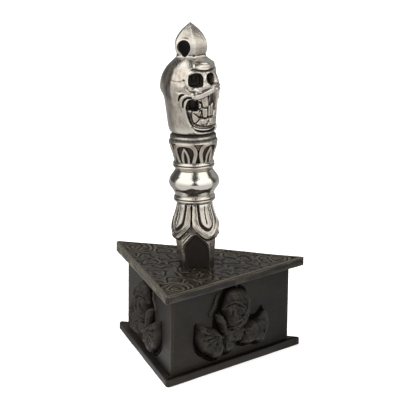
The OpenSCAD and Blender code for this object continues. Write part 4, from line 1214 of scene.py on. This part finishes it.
class PHURBA_OT_boards(Operator):
    """Join the carved top, the base and the three wall boards"""

    bl_idname = "phurba.boards"
    bl_label = "Boards of the stand"

    def execute(self, context):
        sizes = context.scene.phurba_stand
        plain = stained_wood("Ebonised hardwood, satin", False)
        waxed = stained_wood("Ebonised hardwood, carved and waxed", True, True)
        top = as_object(carved_top_mesh(sizes.top_side / MM, sizes.coil_pitch / MM, sizes.carve_d / MM), "carved_top")
        # The hole follows the blade with a little room
        room, hexagon = 0.8, []
        wide, narrow = face_in(STAND_TOP) + room, edge_in(STAND_TOP) + room
        for k in CORNERS:
            a = math.radians(k + NOSE + BLADE_TURN)
            for side in (-1, 1):
                x = (narrow - wide / 2) * 2 / math.sqrt(3) * side
                hexagon.append((x * math.cos(a) + wide * math.sin(a), x * math.sin(a) - wide * math.cos(a)))
        cut(top, prism(hexagon, PLATE_LOW - 2, STAND_TOP + 2))

        def patina_and_shade(co):
            """Painted shade on the plate's narrow sides: a little on the left half, more on the right half."""
            side = 1 - ease(co[:, 2], STAND_TOP - 1.1, STAND_TOP - 0.7)
            return side * (0.15 + 0.4 * ease(co[:, 0], -2, 2))

        finished(top, UPRIGHT, waxed, "stand", ["top_plate"], ((6, 0.14),), patina_and_shade)
        for side, angle in SIDES.items():
            wall = as_object(wall_mesh(), f"{side}_wall")
            finished(wall, turned(angle), plain, "stand", [f"wall_{side}"], ((1, 0.12),))
        base = prism(plate_outline(sizes.base_side / MM, (1.5, 1.3, 1.6)), 0, WALL_LOW)
        soften(base, 0.7, 4)
        framed(base, 1.6)
        finished(as_object(base, "base_board"), UPRIGHT, plain, "stand", ["base_plate"], ((1, 0.2),))
        return {"FINISHED"}


# Reliefs


def relief_height(x, z):
    """How far the wall carving stands out, and how dark its cuts are: a mask over two shells, on a ground painted dark
    as shadow.

    Big forms lie in the wall's own plane; the strokes on them are placed as the camera sees them on the right wall."""
    patina_and_shade = np.zeros(len(x))

    def mass(outline, high, width):
        d = within(closed(outline), x, z)
        return high * np.sqrt(np.clip(1 - (1 - np.clip(d / width, 0, 1)) ** 2, 0, 1))

    def ball(cx, cz, wide, tall, high):
        return high * np.sqrt(np.clip(1 - np.hypot((x - cx) / wide, (z - cz) / tall) ** 2.4, 0, 1))

    head = mass([(-8.5, 27.3), (-6.8, 31.4), (-5, 35.3), (-2.1, 36.4), (1.5, 36.2), (5.2, 35.2), (8.4, 33.2),
                 (9.8, 29.4), (10.3, 25.9), (9.2, 19.8), (5.5, 15.4), (-0.5, 13.6), (-5, 16), (-6.5, 19.9),
                 (-7.4, 23.6)], 6.4, 5.0)
    left = mass([(-25, 22.7), (-22.5, 22), (-20, 20.6), (-16, 18.9), (-13, 18), (-10.7, 15.5), (-8.8, 13.4), (-8.3, 10),
                 (-8.5, 6.7), (-9.2, 4), (-11.5, 2.8), (-15.5, 3.2), (-19, 5.9), (-22.9, 8.2), (-25.2, 11.5),
                 (-25.6, 15.5), (-24.6, 18.8)], 4.6, 3.6)
    right = mass([(5.1, 6.3), (6, 12.8), (12, 16.5), (15.5, 16.8), (18.4, 17.8), (22.3, 20.8), (24.3, 18.6),
                  (25.1, 14.8), (24.6, 11), (23.2, 7.8), (20.5, 3.8), (18, 3.8), (13.1, 5.3), (9, 4.9)], 5.0, 3.6)
    lobe = mass([(-8.6, 12.5), (-5.8, 12.5), (-2, 10.4), (-0.3, 8.2), (-0.6, 5), (-3, 3.7), (-6, 4), (-8.2, 6)],
                3.8, 2.6)
    body = mass([(-7, 17), (1, 18), (7, 15), (7.5, 10), (3, 7.5), (-3, 8.5), (-8, 10)], 4.4, 3.4)
    jaw = mass([(-12.8, 25.4), (-9.4, 25.2), (-6, 21), (-4, 15), (-6, 12.5), (-8.8, 13.6), (-10.4, 17.6),
                (-12.4, 21.6)], 3.6, 2.4)
    strap = 1.2 * roll(away(through([(-10.7, 35.2), (-12, 33), (-13.8, 28.9), (-15.1, 27.4), (-16.1, 25.4)]), x, z),
                       0.55)
    base = np.max([head, left, right, lobe, body, jaw, strap], 0)
    rough = np.stack([x, z, 0 * x], 1)
    base = np.where(base > 0, base + 0.5 * unevenness(rough, 6.5, 9) * ease(base, 0, 2), base)

    # The strokes lie where the camera sees them on the raised forms, which is aside and below on the wall's plane
    seen_x, seen_z = x + 1.04 * base, z - 0.372 * base
    out = base

    def groove(points, wide, deep, dark=0.6):
        nonlocal out, patina_and_shade
        d = away(through(points), seen_x, seen_z)
        out = out - deep * bump(d, wide) * ease(base, 0.3, 1.5)
        patina_and_shade = np.maximum(patina_and_shade, dark * bump(d, wide * 1.2))

    def ridge(points, wide, high):
        nonlocal out
        out = out + high * roll(away(through(points), seen_x, seen_z), wide) * ease(base, 0.3, 1.5)

    def lump(cx, cz, wide, tall, high, dark=0.0):
        nonlocal out, patina_and_shade
        there = bump(np.hypot((seen_x - cx) / wide, (seen_z - cz) / tall), 1)
        out = out + high * there * ease(base, 0.1, 1.0)
        patina_and_shade = np.maximum(patina_and_shade, dark * np.clip(1.6 * there, 0, 1))

    # Mask: brows, worn eyes, ear, nose, lips
    ridge([(-2, 28.4), (1, 28.9), (3.9, 28.6), (7.4, 26.7), (8.8, 25.5)], 0.5, 0.6)
    groove([(-3.4, 27.2), (0.6, 27.8), (3.6, 27.3), (6.8, 25.4), (9.4, 24.4)], 0.6, 0.5, 0.5)
    groove([(-3.6, 31.6), (0.6, 32.6), (5, 32.0), (9.0, 30.2)], 0.5, 0.2, 0.15)
    ridge([(-7.6, 29.6), (-6.8, 28.2), (-6.4, 26.4)], 0.9, 0.5)
    for cx, cz, r in ((-2.0, 24.5, 3.3), (8.3, 23.4, 3.0)):
        ring = [(cx + r * math.cos(a), cz + r * math.sin(a)) for a in np.linspace(0, 2 * math.pi, 13)]
        groove(ring, 0.6, 0.35, 0.25)
        lump(cx, cz, r * 0.8, r * 0.8, 0.4)
    lump(2.2, 22.3, 1.8, 2.4, 0.8)
    ridge([(-2.5, 19.0), (0.5, 18.0), (3.5, 17.9), (7.5, 18.8)], 0.6, 0.6)
    groove([(-3.0, 16.4), (0.5, 15.9), (3.6, 15.9), (7.2, 17.0)], 0.6, 0.7, 0.7)
    groove([(-1.5, 14.4), (2.5, 14.2), (6.0, 14.9)], 0.5, 0.4, 0.4)
    ridge([(11.0, 28.6), (12.4, 26.4), (12.0, 23.6), (10.6, 21.0), (8.8, 19.4)], 0.6, 0.6)
    lump(11.8, 28.2, 1.0, 1.0, -1.2, 0.8)
    groove([(-7.6, 15.0), (-6.6, 13.9), (-5.7, 12.9)], 0.6, 0.6, 0.6)
    groove([(-4.6, 11.8), (-4.0, 8.4), (-4.2, 5.4)], 0.6, 0.6, 0.4)
    # Left shell: ribs that run from its hinge to a spiked edge
    for k, tip in enumerate(((-22.6, 22.0), (-22.2, 18.4), (-21.4, 14.6), (-19.2, 11.0), (-15.0, 8.0), (-10.0, 6.4))):
        ridge([(-7.0, 12.8), ((tip[0] - 7.0) / 2, (tip[1] + 13.6) / 2), tip], 0.8, 0.3 + 0.15 * (k % 2))
    for tip in ((-22.0, 20.2), (-21.6, 16.4), (-20.2, 12.8), (-16.8, 9.4), (-12.2, 7.2)):
        groove([(-9.4, 13.0), ((tip[0] - 8.6) / 2, (tip[1] + 13.2) / 2), tip], 0.6, 0.25, 0.15)
    lump(-19.2, 14.2, 1.2, 1.0, 0.7)
    # Right shell: a smooth fold with a curled rim, ribs at its edge
    ridge([(8.6, 12.4), (10.6, 12.9), (13.2, 12.3), (16, 12.4)], 0.6, 0.5)
    groove([(8.8, 10.9), (11.6, 11.2), (14.6, 10.6)], 0.6, 0.4, 0.3)
    ridge([(20.4, 16.2), (23.0, 18.4), (26.2, 20.6), (28.4, 18.8), (29.0, 15.2), (28.0, 11.4)], 0.6, 0.5)
    ridge([(22, 10), (22.8, 7.0), (23, 3.8)], 0.6, 0.5)
    groove([(24.6, 14.6), (25.2, 11.0), (24.8, 7.6)], 0.6, 0.35, 0.25)
    lump(4.2, 9.6, 1.2, 1.0, 0.6)
    # Undercut pockets, painted black as shade: over the right shell, under the body and the shells
    lump(16.5, 18.0, 1.9, 1.5, -3.2, 1.0)
    lump(22.6, 19.6, 1.9, 0.7, -2.6, 1.0)
    lump(5.2, 6.5, 2.2, 1.2, -3.0, 1.0)
    lump(16.7, 4.2, 2.2, 0.7, -2.0, 0.9)
    out = np.clip(out + 0.3 * unevenness(rough, 2.6, 4) * ease(base, 0.3, 2), 0, None)

    # Ground of the carving, close to the wall: a dark sheet that paints the shadow round the raised forms
    for points, wide in (
        ([(1, 36.6), (-2, 36.8), (-5.2, 35.4), (-7.4, 32.2), (-8.9, 30.1), (-10.1, 27.5), (-11.9, 25.2), (-12.3, 22.6),
          (-12.4, 19.9), (-11.4, 17.5)], 1.4),
        ([(5.2, 36), (8.8, 33.8), (10.3, 30)], 0.7),
        ([(-26.3, 22.4), (-26.8, 18), (-26.9, 13), (-25.2, 8.8), (-20.8, 5.2), (-15.6, 2.2), (-11, 1.6)], 0.8),
        ([(14.2, 18.2), (16.6, 18.2), (19.2, 19.2), (21.6, 21.4)], 1.2),
        ([(0.6, 7.4), (-0.2, 4.4), (-3, 3.0), (-6.5, 3.2)], 0.9),
        ([(4.0, 6.0), (9.0, 4.4), (13.4, 4.6), (18, 3.2), (21, 3.4)], 0.8),
    ):
        d = away(through(points), x, z)
        ground = (d < wide) & (out < 0.45)
        out = np.where(ground, 0.45, out)
        patina_and_shade = np.where(ground, 1.0, patina_and_shade)
    return out, patina_and_shade


def relief_mesh(hand):
    """A relief on a wall that faces -Y, at most 7.2 mm high and none where under 0.35 mm; hand -1 mirrors it."""
    highest, lowest = 7.2, 0.35
    bm = bmesh.new()
    lie = Matrix.Translation((0, -BOX_IN, 22)) @ Matrix.Rotation(math.radians(90), 4, "X")
    bmesh.ops.create_grid(bm, x_segments=250, y_segments=140, size=0.5, matrix=lie @ Matrix.Diagonal((70, 38, 1, 1)))
    co = places(bm)
    out, patina_and_shade = relief_height(co[:, 0], co[:, 2] - WALL_LOW)
    out = np.minimum(out, highest)
    co[:, 1] -= out
    co[:, 0] *= hand
    put(bm, co)
    mark = bm.verts.layers.float.new("patina_and_shade")
    for v, value, rise in zip(bm.verts, patina_and_shade, out):
        v[mark] = value
        v.tag = bool(rise < lowest)
    bmesh.ops.delete(bm, geom=[f for f in bm.faces if all(v.tag for v in f.verts)], context="FACES")
    bmesh.ops.delete(bm, geom=[v for v in bm.verts if not v.link_faces], context="VERTS")
    edges = [e for e in bm.edges if e.is_boundary]
    rim = bmesh.ops.extrude_edge_only(bm, edges=edges)["geom"]
    for v in [g for g in rim if isinstance(g, bmesh.types.BMVert)]:
        v.co.y = -BOX_IN
    bmesh.ops.holes_fill(bm, edges=[e for e in bm.edges if e.is_boundary])
    bmesh.ops.recalc_face_normals(bm, faces=bm.faces)
    return bm, np.array([v[mark] for v in bm.verts])


class PHURBA_OT_reliefs(Operator):
    """Carve the three wall reliefs"""

    bl_idname = "phurba.reliefs"
    bl_label = "Wall reliefs"

    def execute(self, context):
        carved = stained_wood("Ebonised hardwood, carved", True)
        for side, angle in SIDES.items():
            bm, patina_and_shade = relief_mesh(-1 if side == "left" else 1)
            obj, scales = as_object(bm, f"{side}_relief"), ((5, 0.2), (70, 1.2))
            finished(obj, turned(angle), carved, "stand", [f"relief_{side}"], scales, patina_and_shade)
        return {"FINISHED"}


class PHURBA_OT_inside(Operator):
    """Finish the blocks, the pins and the rod, which keep their shapes"""

    bl_idname = "phurba.inside"
    bl_label = "Hidden pieces"

    def execute(self, context):
        timber, iron = bare_wood("Softwood, sawn"), plain_iron("Iron, drawn")
        for node, material in (("glue_blocks", timber), ("tip_block", timber), ("base_pins", iron), ("tang", iron)):
            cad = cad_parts[node]
            cad.data.materials.clear()
            cad.data.materials.append(material)
        return {"FINISHED"}


# Studio


def place_camera(distance):
    """The camera that sees the object as the photograph does."""
    turn, high, tilt = math.radians(VIEW), math.radians(CAMERA_HIGH), math.radians(CAMERA_TILT)
    right = Vector((math.cos(turn), math.sin(turn), 0))
    ahead = Vector((-math.sin(turn) * math.cos(high), math.cos(turn) * math.cos(high), -math.sin(high)))
    up = right.cross(ahead)
    camera = linked("camera", bpy.data.cameras.new("camera"))
    across = right * math.cos(tilt) - up * math.sin(tilt)
    upward = right * math.sin(tilt) + up * math.cos(tilt)
    camera.matrix_world = Matrix((across, upward, -ahead)).transposed().to_4x4()
    aim = Vector((0, 0, AIM_HEIGHT * MM)) - ahead * distance
    camera.location = aim + (right * AIM_RIGHT + up * AIM_UP) * MM
    camera.data.sensor_width = 36
    camera.data.lens = LENS
    camera.data.clip_start, camera.data.clip_end = 0.05, 20
    bpy.context.scene.camera = camera


def lamp(name, power):
    """A soft lamp for the shading alone: the metal mirrors the bright panels of the surroundings instead."""
    azimuth, elevation, distance, wide, share = LAMPS[name]
    light = bpy.data.lights.new(name, "AREA")
    light.shape, light.size, light.energy = "SQUARE", wide, share * power
    obj = linked(name, light)
    a, e = math.radians(VIEW + azimuth), math.radians(elevation)
    toward = Vector((math.sin(a) * math.cos(e), -math.cos(a) * math.cos(e), math.sin(e)))
    obj.location = Vector((0, 0, 0.09)) + toward * distance
    obj.rotation_euler = (-toward).to_track_quat("-Z", "Y").to_euler()
    obj.visible_glossy = False


def panels(tree, aside, toward, levels):
    """Brightness of the studio round the object, from how far a place lies aside of the camera and towards it."""
    angle = add(tree, "Math", {"operation": "ARCTAN2"}, aside, toward)
    ramp = add(tree, "ValToRGB", {}, add(tree, "MapRange", {}, angle, -math.pi, math.pi))
    ramp.color_ramp.interpolation = "EASE"
    elements, peak = ramp.color_ramp.elements, max(levels.values())
    elements.remove(elements[0])
    for k, (degrees, level) in enumerate(PANEL_STOPS):
        stop = elements.new(degrees / 360 + 0.5) if k else elements[0]
        stop.position = min(degrees / 360 + 0.5, 1.0)
        stop.color = (levels.get(level, level) / peak,) * 3 + (1,)
    return add(tree, "Math", TIMES, ramp, peak)


def surroundings(levels):
    """A studio painted on the world, for all but the camera, which sees plain white."""
    world = bpy.data.worlds.new("studio")
    bpy.context.scene.world = world
    world.use_nodes = True
    tree = world.node_tree
    c, s = math.cos(math.radians(VIEW)), math.sin(math.radians(VIEW))
    direction = add(tree, "TexCoord", {}).outputs["Generated"]
    toward, aside, up = (
        add(tree, "VectorMath", {"operation": "DOT_PRODUCT"}, direction, axis)
        for axis in ((s, -c, 0), (c, s, 0), (0, 0, 1))
    )
    level = add(tree, "Math", TIMES, panels(tree, aside, toward, levels),
                add(tree, "MapRange", SMOOTH, up, 0.9, 1.0, 1.0, 0.45))
    # The panels' rounded corners leave a dark gap between them that is narrow at half height and wide above and below
    off_centre = add(tree, "Math", SIZE, add(tree, "Math", MINUS, aside, GAP_PLACE))
    off_centre = add(tree, "Math", LARGER, off_centre, add(tree, "MapRange", SMOOTH, toward, 0.0, -0.2, 0.0, 1.0))
    widening = add(tree, "Math", TIMES, add(tree, "Math", SIZE, add(tree, "Math", MINUS, up, GAP_WAIST)), GAP_SPREAD)
    gap = add(tree, "Math", MINUS, off_centre, widening)
    level = add(tree, "Math", TIMES, level, add(tree, "MapRange", SMOOTH, gap, 0.06, 0.1, 0.03, 1.0))
    # Dimmer near the floor
    level = add(tree, "Math", TIMES, level, add(tree, "MapRange", SMOOTH, up, -0.1, 0.45, 0.6, 1.0))
    studio = add(tree, "Background", {}, linear("#fffefb"), add(tree, "Math", PLUS, level, ROOM))
    pale = tree.nodes["Background"]
    feed(pale, linear("#ffffff"), 1.0)
    seen = add(tree, "LightPath", {}).outputs["Is Camera Ray"]
    feed(tree.nodes["World Output"], add(tree, "MixShader", {}, seen, studio, pale))


def white_paper(levels):
    """Matt white paper: bright to the camera; the metal mirrors it as the dim foot of the studio's panels."""
    material, tree, bsdf = new_material("Matt white paper")
    feed(bsdf, Base_Color=linear("#f1f0ee"), Roughness=0.9, Specular_IOR_Level=0.1)
    place = add(tree, "SeparateXYZ", {}, add(tree, "TexCoord", {}).outputs["Object"])
    c, s = math.cos(math.radians(VIEW)), math.sin(math.radians(VIEW))
    x_c, x_s = (add(tree, "Math", TIMES, place.outputs["X"], part) for part in (c, s))
    y_c, y_s = (add(tree, "Math", TIMES, place.outputs["Y"], part) for part in (c, s))
    aside, toward = add(tree, "Math", PLUS, x_c, y_s), add(tree, "Math", MINUS, x_s, y_c)
    level = add(tree, "Math", TIMES, panels(tree, aside, toward, levels), FLOOR_DIM)
    mirrored = add(tree, "Emission", {}, linear("#f6f5f3"), add(tree, "Math", PLUS, level, FLOOR_LIT))
    glow = add(tree, "Emission", {}, linear("#ffffff"), FLOOR_GLOW)
    rays = add(tree, "LightPath", {}).outputs
    paper = add(tree, "MixShader", {}, rays["Is Camera Ray"], bsdf, add(tree, "AddShader", {}, bsdf, glow))
    feed(tree.nodes["Material Output"], add(tree, "MixShader", {}, rays["Is Glossy Ray"], paper, mirrored))
    return material


class PHURBA_OT_stage(Operator):
    """Set the floor, the pale background, the lights and the camera"""

    bl_idname = "phurba.stage"
    bl_label = "Stage"

    def execute(self, context):
        studio = context.scene.phurba_studio
        place_camera(studio.distance)
        context.scene.view_settings.view_transform = "Standard"
        for name in LAMPS:
            lamp(name, studio.lamps)
        levels = {"left": studio.left_panel, "right": studio.right_panel}
        surroundings(levels)
        bm = bmesh.new()
        bmesh.ops.create_circle(bm, cap_ends=True, segments=96, radius=4)
        floor = as_object(bm, "floor")
        floor.data.materials.append(white_paper(levels))
        return {"FINISHED"}


# Panel and registration

STEPS = ("stage", "boards", "reliefs", "inside", "blade", "turned", "lotuses", "head", "finial")


class PHURBA_PT_panel(Panel):
    """Buttons that make the pieces, and their sizes and colours"""

    bl_idname = "PHURBA_PT_panel"
    bl_label = "Phurba"
    bl_space_type = "VIEW_3D"
    bl_region_type = "UI"
    bl_category = "Phurba"

    def draw(self, context):
        for step in STEPS:
            self.layout.operator(f"phurba.{step}")
        for group in GROUPS:
            box = self.layout.box()
            settings = getattr(context.scene, group)
            for key in settings.__annotations__:
                box.prop(settings, key)


GROUPS = {
    "phurba_dagger": DaggerSizes,
    "phurba_stand": StandSizes,
    "phurba_finishes": Finishes,
    "phurba_studio": StudioSettings,
}
CLASSES = (
    *GROUPS.values(),
    PHURBA_OT_stage,
    PHURBA_OT_boards,
    PHURBA_OT_reliefs,
    PHURBA_OT_inside,
    PHURBA_OT_blade,
    PHURBA_OT_turned,
    PHURBA_OT_lotuses,
    PHURBA_OT_head,
    PHURBA_OT_finial,
    PHURBA_PT_panel,
)


def register():
    for cls in CLASSES:
        bpy.utils.register_class(cls)
    for name, group in GROUPS.items():
        setattr(bpy.types.Scene, name, PointerProperty(type=group))


def unregister():
    for name in GROUPS:
        delattr(bpy.types.Scene, name)
    for cls in reversed(CLASSES):
        bpy.utils.unregister_class(cls)


def main():
    register()
    for step in STEPS:
        getattr(bpy.ops.phurba, step)()


if __name__ == "__main__":
    main()
